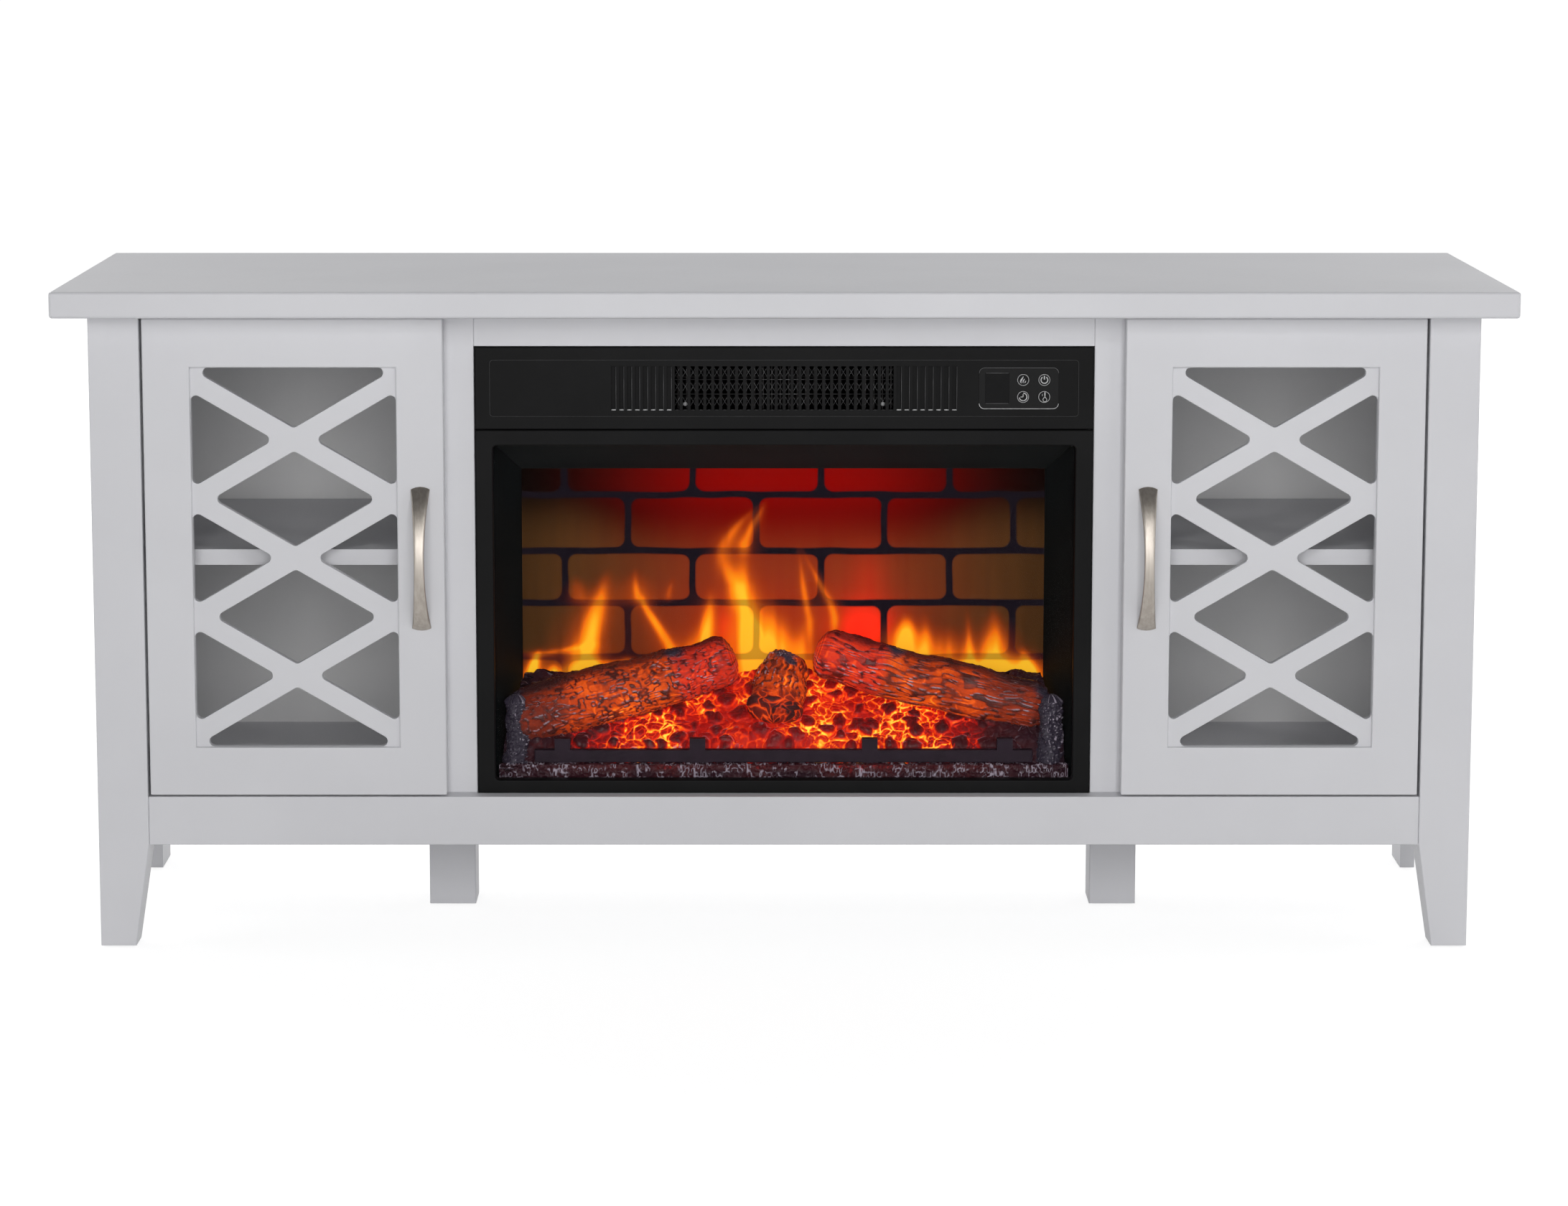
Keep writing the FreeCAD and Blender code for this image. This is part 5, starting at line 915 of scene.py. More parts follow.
red = red_fall * (RED_BASE + RED_TOP_SHARE * eased((z - RED_TOP_Z) / RED_TOP_RUN))
red = red + sum(red_glow(x, z, *glow) for glow in RED_GLOWS)
fade_start = AMBER_FADE_Z + AMBER_SIDE_RISE * eased((np.abs(x) - AMBER_SIDE[0]) / AMBER_SIDE[1])
amber = 1 - 0.98 * eased((z - fade_start) / AMBER_FADE_HEIGHT)
amber = amber * (STREAK_AMBER[0] + STREAK_AMBER[1] * streaks)
amber = amber * (1 - AMBER_CORNER[2] * eased((np.abs(x) - AMBER_CORNER[0]) / AMBER_CORNER[1]))
screen_marks = {
    "brick_edge": inside_brick(x + wobble_x, z + wobble_z),
    "red_light": red,
    "amber_light": amber,
    "flame_heat": flames * (STREAK_FLAME[0] + STREAK_FLAME[1] * streaks),
}
print("marks on the film", sorted(screen_marks))

# %% [markdown]
# A single sheet has no back, and a piece of the model should be closed. So the edge of the sheet is
# carried back by the thickness of the film, and from there to one point in the middle of its back. The
# same helper closes the ash and the coals later on, whose backs lie hidden inside the bed.

# %% Closed film
SCREEN_EDGE_DEGREES = 40


def closed_sheet(points, marks, apex, rim_y=None):
    """Sheet whose edge is carried back to a rim, if one is given, and then to one hidden point behind it."""
    marks = {name: np.pad(values, 1, mode="edge") for name, values in marks.items()}
    wide = np.pad(points, ((1, 1), (1, 1), (0, 0)), mode="edge")
    if rim_y is not None:
        wide[[0, -1], :, 1] = rim_y
        wide[:, [0, -1], 1] = rim_y
        return closed_sheet(wide, marks, apex)
    wide[[0, -1]] = apex
    wide[:, [0, -1]] = apex
    return wide, marks


sheet = np.stack(np.broadcast_arrays(x, screen_low[1], z), axis=-1)
screen_back = ((screen_low[0] + screen_high[0]) / 2, screen_high[1], (screen_low[2] + screen_high[2]) / 2)
screen_sheet, screen_marks = closed_sheet(sheet, screen_marks, screen_back, screen_high[1])
brick_screen = surface_piece("brick_flame_screen", [(screen_sheet, False, False)], screen_marks,
                             sharp_degrees=SCREEN_EDGE_DEGREES)
print("screen points", screen_sheet.shape[:2])

# %% [markdown]
# The film is lit from behind, so the bricks glow and the flames are brighter than paint can be. A lamp
# behind a sheet that lets light through would do this in Blender too, but with much noise. An emission
# with the marks of the film as its colour and strength gives the same picture with none, and it looks
# the same from every side.

# %% Light through the film
FILM_RED = (0.300, 0.000, 0.000)
FILM_AMBER = (0.064, 0.027, 0.0075)
FILM_MORTAR = (0.0070, 0.0045, 0.0080)
FLAME_COLOURS = ((0.0, (0.26, 0.024, 0.002)), (0.30, (0.52, 0.062, 0.003)), (0.55, (0.80, 0.140, 0.004)),
                 (0.80, (1.0, 0.300, 0.006)), (1.0, (1.0, 0.520, 0.022)))
film = new_finish("backlit_film", {"Emission Strength": 0.50, "Specular IOR Level": 0.0})


def mark_value(material, mark):
    """Value that the points of a piece carry under a name."""
    return add_node(material, "ShaderNodeAttribute", attribute_name=mark).outputs["Fac"]


def scaled_colour(material, colour, amount):
    """Colour times a value."""
    scale = add_node(material, "ShaderNodeVectorMath", {"Vector": colour}, operation="SCALE")
    wire(material, amount, scale.inputs["Scale"])
    return scale.outputs["Vector"]


def mixed(material, amount, below, above, kind="RGBA"):
    """Colours mixed by a value; a colour may be fixed or come from a node."""
    mix = add_node(material, "ShaderNodeMix", data_type=kind)
    wire(material, amount, mix.inputs["Factor"])
    for number, side in ((6, below), (7, above)):
        if isinstance(side, tuple):
            mix.inputs[number].default_value = (*side, 1.0)
        else:
            wire(material, side, mix.inputs[number])
    return mix.outputs[2]


def product(material, first, second):
    """Two values multiplied."""
    times = add_node(material, "ShaderNodeMath", operation="MULTIPLY")
    wire(material, first, times.inputs[0])
    wire(material, second, times.inputs[1])
    return times.outputs["Value"]


brick_light = add_node(film, "ShaderNodeVectorMath", operation="ADD")
wire(film, scaled_colour(film, FILM_RED, mark_value(film, "red_light")), brick_light.inputs[0])
wire(film, scaled_colour(film, FILM_AMBER, mark_value(film, "amber_light")), brick_light.inputs[1])
in_brick = between(film, mark_value(film, "brick_edge"), 0.0, 1.0, -0.7, 0.9)
wall = mixed(film, in_brick, FILM_MORTAR, brick_light.outputs["Vector"])
heat = mark_value(film, "flame_heat")
flame_colour = colour_steps(film, heat, FLAME_COLOURS)
cover = product(film, between(film, heat, 0.0, 0.97, 0.03, 0.62),
                between(film, mark_value(film, "brick_edge"), 0.55, 1.0, -0.7, 0.9))
picture = mixed(film, cover, wall, flame_colour)
wire(film, picture, shader_of(film).inputs["Base Color"])
wire(film, picture, shader_of(film).inputs["Emission Color"])
wire(film, between(film, grain_noise(film, (1.5, 1.5, 1.5)), 0.5, 0.7), shader_of(film).inputs["Roughness"])
fit_piece(brick_screen, "cabinet", "screen_film", film, "flame_screen")

# %% [markdown]
# The logs are hollow casts of resin, painted dark and lit from inside. Each one is a ring carried along
# a bending middle line, so the first need is that line. A few stations, each a place and a radius, are
# joined by a polynomial. At every point of the line two directions square to it, one up and one to the
# front, carry the ring.

# %% Middle line of a log
UPRIGHT = 0.8
LINE_STEP = 0.01


def bent_axis(stations, place):
    """Middle line and radius at places from 0 to 1: a polynomial through the stations."""
    stations = np.array(stations, float)
    knots = np.linspace(0, 1, len(stations))
    degree = len(stations) - 1
    return np.stack([np.polyval(np.polyfit(knots, column, degree), place) for column in stations.T], axis=-1)


def axis_frame(stations, place):
    """Unit vectors along the middle line, up from it and out to its front; an upright one takes Y for up."""
    near = bent_axis(stations, np.clip(place - LINE_STEP, 0, 1))[:, :3]
    far = bent_axis(stations, np.clip(place + LINE_STEP, 0, 1))[:, :3]
    lead = (far - near) / np.linalg.norm(far - near, axis=1, keepdims=True)
    up = np.array((0.0, 1.0, 0.0) if abs(lead[0, 2]) > UPRIGHT else (0.0, 0.0, 1.0))
    rise = up - lead * (lead @ up)[:, None]
    rise = rise / np.linalg.norm(rise, axis=1, keepdims=True)
    return lead, rise, np.cross(lead, rise)


def round_patch(turn_share, place, radius, length, patch):
    """Distance from a spot on a log, in sizes of the spot: along the log and around its girth."""
    spot_place, spot_turn, spot_mm = patch
    around = (turn_share - spot_turn + 0.5) % 1 - 0.5
    return np.hypot((place - spot_place) * length, around * 2 * np.pi * radius) / spot_mm


print("log helpers", bent_axis.__name__, axis_frame.__name__, round_patch.__name__)

# %% [markdown]
# Light comes out of a log where its resin is thin: in the gaps of the bark and low down, near the
# embers. A sculpted mesh or a displacement modifier could give bark too, but a formula can be repeated,
# and it keeps colour and relief together. Where a seeded noise lies near its middle value the bark is
# raised, which gives short dark worms with pale painted highlights on their upper flanks, standing for
# glints, and the gaps between them glow. Knots, splits and burnt spots are added one by one. Every point
# carries its heat, its redness and its char, and the shader does the rest.

# %% Noise on a log
CAP_ROWS = 18
FRONT_TURN = 0.42
FRONT_CROWDING = 0.45
FIELD_KNOTS = {"warp": (9, 12, 1), "drift": (14, 20, 2), "fine": (120, 160, 3), "swelling": (6, 7, 4),
               "patch": (10, 14, 5)}


def log_grid(grid):
    """Places along a log with its end caps, their reach from the middle, and turns crowded to the front."""
    rows, columns = grid
    place = np.concatenate([np.zeros(CAP_ROWS), np.linspace(0, 1, rows), np.ones(CAP_ROWS)])[:, None]
    cap = np.linspace(0, 1, CAP_ROWS, endpoint=False)
    reach = np.concatenate([cap, np.ones(rows), cap[::-1]])[:, None]
    even = np.linspace(0, 1, columns, endpoint=False)[None, :]
    turn_share = even - FRONT_CROWDING * np.sin(2 * np.pi * (even - FRONT_TURN)) / (2 * np.pi)
    return place, reach, turn_share


def log_fields(turn_share, place, seed):
    """Noises by name, from -0.5 to 0.5, and the share by which the bark is whole."""
    fields = {name: lattice_noise(turn_share, place, around, along, seed + step) - 0.5
              for name, (around, along, step) in FIELD_KNOTS.items()}
    fields["broken"] = 0.55 + 0.45 * eased(3 * lattice_noise(turn_share, place, 18, 24, seed + 7) - 0.7)
    return fields


print("fields on a log", sorted(FIELD_KNOTS))

# %% [markdown]
# Now the bark itself. A ridge is where a bent noise lies near its middle value, and a second, finer
# noise cuts gaps into the ridges. Thin hot veins run between them. The heat follows from that: ridges
# are cool, valleys hot, and the top edge of a log is cooler than its flanks, because the lamps lie low.

# %% Bark of a log
BARK_BEND = 0.03
RIDGE_WIDTH = 0.165
RIDGE_HEAT = 0.16
RIDGE_COVER = 0.86
GAP_DEPTH = 0.7
VEIN_BEND = 0.06
VEIN_WIDTH = 0.05
VEIN_HEAT = 0.20
PATCH_HEAT = 0.20
TOP_COOLING = 0.34


def bark_ridges(turn_share, place, fields, ridges_around, ridges_along, foot, seed):
    """Ridges near the middle of a bent noise, cut by gaps and gone in the foot, and veins between them."""
    warp, drift = fields["warp"], fields["drift"]
    field = lattice_noise(turn_share + BARK_BEND * warp, place + BARK_BEND * drift,
                          ridges_around, ridges_along, seed)
    small_field = lattice_noise(turn_share + BARK_BEND * drift, place + BARK_BEND * warp,
                                ridges_around, 2 * ridges_along, seed + 6)
    ridge = np.exp(-((field - 0.5) / RIDGE_WIDTH) ** 4) * fields["broken"]
    ridge = ridge * (1 - GAP_DEPTH * eased(8 * small_field - 4.6)) * (1 - foot)
    vein_field = lattice_noise(turn_share + VEIN_BEND * drift, place + VEIN_BEND * warp, 15, 13, seed + 9)
    vein = np.exp(-((vein_field - 0.5) / VEIN_WIDTH) ** 2) * (1 - ridge)
    return ridge, vein


def bark_heat(place, upward, low, fields, ridge, vein, warmth):
    """Heat of valleys, cooled on the top edge and at the ends, less on the ridges and more in the veins."""
    base_heat, low_heat, start_dim, end_dim = warmth
    top_edge = eased((upward - 0.74) / 0.24)
    dimmed = start_dim * eased((0.40 - place) / 0.40) + end_dim * eased((place - 0.60) / 0.40)
    valley = base_heat + low_heat * low + PATCH_HEAT * fields["patch"] - TOP_COOLING * top_edge - dimmed
    heat = valley + (RIDGE_HEAT - valley) * RIDGE_COVER * ridge + 0.08 * fields["fine"]
    return heat + (VEIN_HEAT - dimmed) * vein * eased((0.75 - upward) / 0.75)


print("bark", bark_ridges.__name__, bark_heat.__name__)

# %% [markdown]
# A log also has marks that sit at one place: the foot of the middle log is melted into lumps of
# clinker, splits run along it, knots ripple the bark and some spots are burnt black. Each of these is
# added on top of the bark, as a change of the relief and of the heat at the same points.

# %% Clinker, splits and knots
FOOT_HEAT = 0.36
CLINKER_MM = 10.0
CLINKER_HEIGHT = 3.4
CRACK_HEAT = 0.46
LUMP_COOLING = 0.30
RIPPLE_MM = 1.3
KNOT_MM = 1.0


def add_clinker(lifted, heat, plain, fields, foot, seed):
    """Lumps round seeded middles with hot cracks between them, as far as the foot's share goes."""
    clinker_x = (plain[..., 0] - plain[..., 0].min()) / CLINKER_MM
    clinker_z = (plain[..., 2] - plain[..., 2].min()) / CLINKER_MM
    bent_z = clinker_z + fields["warp"] + 2
    bent_x = clinker_x + fields["drift"] + 2
    near, far, tone = nearest_seeds(bent_z, bent_x, seed + 10)
    clinker = 1 - np.clip(near / 0.8, 0, 1) ** 2
    crack = np.exp(-((far - near) / 0.13) ** 2)
    lifted = lifted + foot * CLINKER_HEIGHT * clinker * (0.3 + tone)
    heat = heat + foot * (FOOT_HEAT + CRACK_HEAT * crack - LUMP_COOLING * clinker * tone - heat)
    return lifted, heat


def add_splits(lifted, heat, turn_share, fields, foot, bark_mm, splits):
    """Grooves along the log: a bell curve across each split's line, which wanders with the noise."""
    for split_turn, split_share, split_heat in splits:
        split_line = turn_share + 0.03 * fields["warp"] + 0.02 * fields["drift"] - split_turn
        groove = np.exp(-((split_line + 0.5) % 1 - 0.5) ** 2 / split_share ** 2)
        groove = groove * (0.45 + 1.1 * fields["broken"]) / 1.3
        lifted = lifted - bark_mm * groove * (1 - foot)
        heat = heat + split_heat * groove * (1 - foot)
    return lifted, heat


def add_knots(lifted, heat, turn_share, place, radius, length, fields, knots):
    """Rings of ripples round each knot, under a bell that smooths the bark there."""
    for knot in knots:
        away = round_patch(turn_share, place, radius, length, knot)
        bell = np.exp(-away ** 4)
        ripple = bell * np.cos(2 * np.pi * (1.6 * away + fields["drift"]))
        lifted = lifted * (1 - 0.8 * bell) + RIPPLE_MM * ripple + KNOT_MM * bell
        heat = heat * (1 - 0.4 * bell) + bell * 0.20 - 0.16 * ripple
    return lifted, heat


print("single marks", add_clinker.__name__, add_splits.__name__, add_knots.__name__)

# %% [markdown]
# With those helpers a whole log can be put together: a ring round the middle line, lifted by all of the
# relief, and closed by end caps with growth rings. Besides its heat and redness a point keeps its char,
# its gloss and a mark for painted highlights: pale paint that stands for glints, laid where the relief
# turns towards the light.

# %% A cast log
FINE_MM = 0.35
SWELLING_MM = 4.0
FOOT_STARTS = 0.60
FOOT_RUN = 0.30
END_BULGE = 6.0
END_ROUNDING = 0.16
END_ROUNDING_MM = 5.0
GROWTH_RING_MM = 0.8


def cast_log(grid, stations, ridges_around, ridges_along, bark_mm, seed, warmth, red_shares,
             chars, knots, splits, foot_share):
    """Points and marks of a log: ring radius plus bark, swelling and knot ripples, closed at both ends."""
    place, reach, turn_share = log_grid(grid)
    turn = turn_share * 2 * np.pi
    line = bent_axis(stations, place[:, 0])
    middle, radius = line[:, :3], line[:, 3:]
    length = np.linalg.norm(np.array(stations[-1][:3]) - np.array(stations[0][:3]))
    lead, rise, front = axis_frame(stations, place[:, 0])
    ring = np.sin(turn)[..., None] * rise[:, None] - np.cos(turn)[..., None] * front[:, None]
    plain = middle[:, None] + (radius * reach)[..., None] * ring
    foot = foot_share * eased((place - FOOT_STARTS) / FOOT_RUN)
    fields = log_fields(turn_share, place, seed)
    fine, swelling = fields["fine"], fields["swelling"]
    ridge, vein = bark_ridges(turn_share, place, fields, ridges_around, ridges_along, foot, seed)
    upward = np.sin(turn) * rise[:, 2:] - np.cos(turn) * front[:, 2:]
    low = eased((0.20 - upward) / 0.9)
    lifted = bark_mm * ridge + FINE_MM * fine + SWELLING_MM * swelling
    heat = bark_heat(place, upward, low, fields, ridge, vein, warmth)
    lifted, heat = add_clinker(lifted, heat, plain, fields, foot, seed)
    lifted, heat = add_splits(lifted, heat, turn_share, fields, foot, bark_mm, splits)
    lifted, heat = add_knots(lifted, heat, turn_share, place, radius, length, fields, knots)
    char = np.zeros_like(lifted)
    for burnt in chars:
        away = round_patch(turn_share, place, radius, length, burnt)
        char = char + np.exp(-(away * (1 + 0.7 * fields["drift"])) ** 4)
    char = np.clip(char, 0, 1)
    to_end = np.minimum(place, 1 - place) * length
    rounding = 1 - END_ROUNDING * np.exp(-(to_end / END_ROUNDING_MM) ** 2)
    growth_rings = 0.5 + 0.5 * (1 - foot) * np.cos(reach * 9 * np.pi + 5 * swelling)
    end_lift = (1 - reach ** 2) * END_BULGE + GROWTH_RING_MM * growth_rings * np.sin(np.pi * reach)
    heat = heat + (reach < 1) * (1 - foot) * (0.25 * (1 - growth_rings) - 0.06)
    redness = eased((place - red_shares[0]) / (red_shares[1] - red_shares[0])) + 0.5 * foot + 0 * lifted
    spread = ((radius * rounding + lifted) * reach)[..., None]
    way = np.where(place > 0.5, 1.0, -1.0)
    points = middle[:, None] + spread * ring + (way * end_lift)[..., None] * lead[:, None]
    gloss = np.clip(ridge + 0.5 * char, 0, 1)
    step_mm = np.gradient(turn_share[0]) * 2 * np.pi * radius
    # Painted highlight: pale paint on the flanks where the relief turns, in broken streaks, stands for
    # glints.
    flank = eased(np.gradient(bark_mm * ridge + FINE_MM * fine, axis=1) / step_mm - 0.25)
    streaks = eased(5 * lattice_noise(turn_share, place, 60, 60, seed + 8) - 2.0)
    painted_glint = flank * streaks * (1 - 0.5 * low)
    return points, {"glow_heat": heat, "redness": redness, "char": char, "gloss": gloss, "painted_glint": painted_glint}


print("a log carries heat, redness, char, gloss and brushed marks")

# %% [markdown]
# The bed carries three logs: a long one from each side and a short one that leans forward between them.
# A table gives the stations of each, how fine its bark is, how hot it glows and where its burnt spots
# and knots lie. The finish turns heat into colour on two ramps, one orange and one red, and mixes them
# by the redness of the point.

# %% Three logs
LOG_GRID = (320, 210)
RESIN_GRAIN = 0.9
RESIN_LIFT = 0.12
LOGS = {
    "left": (((-260, -97.1, 206.0, 27.0), (-190, -95.2, 227.0, 28.0), (-120, -91.5, 245.0, 26.5),
              (-52, -87.75, 266.0, 24.0)), 62, 40, 1.3, 11, (0.64, 0.02, 0.30, 0.0), (0.70, 0.78),
             ((0.76, 0.30, 9), (0.02, 0.28, 12)), ((0.67, 0.40, 10),), (), 0.0),
    "right": (((37, -84, 273.0, 23.0), (99.5, -87.75, 254.1, 24.6), (171.3, -91.5, 236.7, 24.6),
               (252, -95.2, 221.0, 22.0)), 58, 16, 1.3, 23, (0.64, 0.02, 0.0, 0.24), (0.36, 0.29),
              ((0.36, 0.28, 11), (1.0, 0.35, 9)), (), (), 0.0),
    "centre": (((4, -58, 256, 21.0), (-4, -82, 235.0, 25.0), (-9, -101, 211.0, 24.0)),
               46, 9, 1.3, 37, (0.60, 0.0, 0.0, 0.0), (1.2, 1.4), ((0.03, 0.21, 12), (0.20, 0.18, 6)), (),
               ((0.135, 0.006, 0.22), (0.170, 0.008, 0.28), (0.210, 0.007, 0.26)), 1.0),
}
LOG_HEATS = ((0.0, (0.030, 0.013, 0.017)), (0.20, (0.075, 0.018, 0.015)), (0.42, (0.20, 0.022, 0.008)),
             (0.62, (0.52, 0.050, 0.005)), (0.82, (0.86, 0.125, 0.007)), (1.0, (1.0, 0.42, 0.02)))
LOG_REDS = ((0.0, (0.030, 0.007, 0.010)), (0.20, (0.085, 0.010, 0.011)), (0.65, (0.58, 0.026, 0.009)),
            (1.0, (0.95, 0.10, 0.010)))
CHAR_GREY = (0.034, 0.027, 0.042)
# Pale grey of the painted highlights that stand for glints on the bark, the stumps and the coals.
GLINT_PAINT_GREY = (0.46, 0.40, 0.48)
resin = new_finish("glowing_resin", {"Specular IOR Level": 0.15})
resin_heat = mark_value(resin, "glow_heat")
resin_colour = mixed(resin, mark_value(resin, "redness"), colour_steps(resin, resin_heat, LOG_HEATS),
                     colour_steps(resin, resin_heat, LOG_REDS))
resin_colour = mixed(resin, mark_value(resin, "char"), resin_colour, CHAR_GREY)
wire(resin, resin_colour, shader_of(resin).inputs["Emission Color"])
resin_paint = mixed(resin, mark_value(resin, "painted_glint"), resin_colour, GLINT_PAINT_GREY)
resin_glow = between(resin, resin_heat, 0.10, 0.60, 0.2, 0.8)
resin_rough = between(resin, mark_value(resin, "gloss"), 0.65, 0.14, 0.1, 0.8)
wire(resin, resin_paint, shader_of(resin).inputs["Base Color"])
wire(resin, resin_glow, shader_of(resin).inputs["Emission Strength"])
wire(resin, resin_rough, shader_of(resin).inputs["Roughness"])
lift(resin, grain_noise(resin, [RESIN_GRAIN] * 3), RESIN_LIFT)
for name, shape in LOGS.items():
    log_points, log_marks = cast_log(LOG_GRID, *shape)
    log_piece = surface_piece(name + "_cast_log", [(log_points, False, True)], log_marks)
    fit_piece(log_piece, "cabinet", "log_resin", resin, name + "_log")

# %% [markdown]
# Under the logs lies the ember bed, another glowing cast. In front it has a low step of grey ash that
# carries the grate bar, and behind that a slope of coals. The step and slope are one profile carried
# along the fire, and the coals are lumps pushed out of it at two sizes. The creases between coals glow
# yellow, as if the fire were underneath.

# %% Shape of the ember bed
BED_FRONT_HALF = 274.0
BED_REAR_HALF = 253.0
STEP_PROFILE = ((-134.2, 149.0), (-134.2, 170.4), (-133.8, 171.4), (-132.8, 172.0), (-119.0, 172.0))
SLOPE_PROFILE = ((-121.0, 166.0), (-119.8, 175.0), (-117.5, 186.0), (-104.0, 199.0), (-80.0, 216.0),
                 (-41.5, 243.0))
STEP_GRID = (64, 900)
SLOPE_GRID = (150, 580)
LUMP_MM = 9.5


def profile_sheet(profile, grid):
    """Profile carried along the fire, narrowing to the back: points, way out of the face, both shares."""
    rows, columns = grid
    profile = np.array(profile)
    run = np.concatenate([[0], np.cumsum(np.hypot(*np.diff(profile, axis=0).T))])
    way = np.linspace(0, run[-1], rows)
    line_y = np.interp(way, run, profile[:, 0])
    line_z = np.interp(way, run, profile[:, 1])
    lead = np.hypot(np.gradient(line_y), np.gradient(line_z))
    outward = np.stack([0 * way, -np.gradient(line_z) / lead, np.gradient(line_y) / lead], axis=-1)[:, None]
    narrowing = np.clip((line_y - STEP_PROFILE[0][0]) / (SLOPE_PROFILE[-1][0] - STEP_PROFILE[0][0]), 0, 1)
    half = BED_FRONT_HALF + (BED_REAR_HALF - BED_FRONT_HALF) * narrowing
    x = np.linspace(-1, 1, columns)[None, :] * half[:, None]
    points = np.stack(np.broadcast_arrays(x, line_y[:, None], line_z[:, None]), axis=-1)
    s = np.broadcast_to(way[:, None], x.shape)
    return points, outward, x, s, (x + BED_FRONT_HALF) / (2 * BED_FRONT_HALF), s / run[-1]


def lumps(x, s, size, warp, bend, seed):
    """Lumps of a size in mm: their height from 0 to 1, the crease round them and a random tone for each."""
    first, second, tone = nearest_seeds(s / size + warp + 1, (x + BED_FRONT_HALF) / size + bend + 1, seed)
    return 1 - np.clip(first / 0.8, 0, 1) ** 2, second - first, tone


print("bed", 2 * BED_FRONT_HALF, "mm wide in front", 2 * BED_REAR_HALF, "mm behind")

# %% [markdown]
# In front of the coals lies a low step of dark ash, with pale painted highlights on its fine wiggles
# that stand for glints. A flat strip with a bump map would do from afar, but its edge would stay
# straight. So the points of the profile are pushed out by ridges and pebbles, and the same fields say
# where the painted highlights lie and where the red of the coals shows along the upper edge.

# %% Step of ash
ASH_MM = 3.0
ASH_EDGE_S = 20.0
ASH_EDGE_MM = 4.0
ASH_WARM_HALF = 215
ASH_EDGE_HALF = 225
ASH_BACK = (0.0, -118.0, 152.0)
ash_points, ash_out, x, s, x_share, s_share = profile_sheet(STEP_PROFILE, STEP_GRID)
warp = lattice_noise(x_share, s_share, 160, 8, 41) - 0.5
bend = lattice_noise(x_share, s_share, 190, 9, 42) - 0.5
ash_field = lattice_noise(x_share + 0.004 * warp, s_share + 0.1 * bend, 130, 9, 43)
ash_ridge = np.exp(-((ash_field - 0.5) / 0.15) ** 4)
pebble, _, pebble_tone = lumps(x, s, ASH_MM, warp, bend, 47)
clinker, _, clinker_tone = lumps(x, s, LUMP_MM, warp, bend, 44)
ash_patch = lattice_noise(x_share, s_share, 24, 2, 45)
wiggle_field = lattice_noise(x_share + 0.002 * bend, s_share, 300, 9, 46)
wiggle_place = eased(4 * lattice_noise(x_share, s_share, 130, 6, 48) - 1.35)
wiggle = np.exp(-((wiggle_field - 0.5) / 0.08) ** 2) * wiggle_place
ash_pushed = 0.8 * wiggle + 0.9 * ash_ridge + 0.7 * pebble * pebble_tone + 1.0 * clinker * clinker_tone - 1.9
ash_warm = np.exp(-(np.abs(x) / ASH_WARM_HALF) ** 4) * eased(2 * ash_patch - 0.3)
ash_edge = np.exp(-((s - ASH_EDGE_S) / ASH_EDGE_MM) ** 2 - (np.abs(x) / ASH_EDGE_HALF) ** 6)
ash_heat = 0.03 + ash_warm * (0.06 + 0.10 * (1 - ash_ridge) * (1 - pebble)) + 0.09 * ash_edge
# Painted highlight: pale paint on the wiggles stands for glints of light on the ash.
ash_painted_glint = np.clip(1.1 * wiggle, 0, 1)
ash_gloss = np.clip(ash_ridge + pebble * pebble_tone, 0, 1)
ash_marks = {"glow_heat": ash_heat, "gloss": ash_gloss, "painted_glint": ash_painted_glint}
ash_sheet, ash_marks = closed_sheet(ash_points + ash_out * ash_pushed[..., None], ash_marks, ASH_BACK)
ash_piece = surface_piece("ash_step", [(ash_sheet, False, False)], ash_marks)
print("ash step", STEP_GRID, "points")

# %% [markdown]
# Behind the bar the coals rise towards the screen. Coals could be modelled one by one and scattered as
# copies, which gives thousands of faces that cut into each other. The real cast is one skin, so here
# each point looks for the nearest of many seeded middles. The distance gives the dome of a coal, and
# where two middles are equally near there is a glowing crack.

# %% Slope of coals
COAL_MM = 21.0
CINDER_MM = 5.2
COAL_HEIGHT = 5.5
COAL_BACK = (0.0, -60.0, 152.0)
GLOW_HALF = 224
HEAP_X = -9.0
HEAP_REACH = 44.0
HEAP_S = 33.0
HEAP_DEPTH = 12.0
HEAP_HEIGHT = 7.0
HOT_PATCHES = ((-128, 48, 0.44), (116, 52, 0.66), (30, 30, 0.34), (-45, 26, 0.12))
coal_points, coal_out, x, s, x_share, s_share = profile_sheet(SLOPE_PROFILE, SLOPE_GRID)
warp = lattice_noise(x_share, s_share, 60, 14, 51) - 0.5
bend = lattice_noise(x_share, s_share, 80, 18, 57) - 0.5
coal_along = s / COAL_MM + 0.3 * warp + 1
coal_across = (x + BED_FRONT_HALF) / COAL_MM + 0.3 * bend + 1
coal_first, _, coal_tone = nearest_seeds(coal_along, coal_across, 52)
lump, vein_gap, lump_tone = lumps(x, s, LUMP_MM, 0.9 * warp, 0.9 * bend, 58)
cinder, thread_gap, cinder_tone = lumps(x, s, CINDER_MM, 1.2 * warp, 1.2 * bend, 53)
fine = lattice_noise(x_share, s_share, 400, 110, 55) - 0.5
patch = lattice_noise(x_share, s_share, 30, 6, 56)
coal_reach = 0.24 + 0.18 * coal_tone
coal = eased((coal_reach - coal_first) / 0.10 + 0.5)
coal_dome = np.sqrt(np.maximum(1 - (coal_first / (coal_reach + 0.05)) ** 2, 0))
heap = HEAP_HEIGHT * np.exp(-((x - HEAP_X) / HEAP_REACH) ** 2 - ((s - HEAP_S) / HEAP_DEPTH) ** 2)
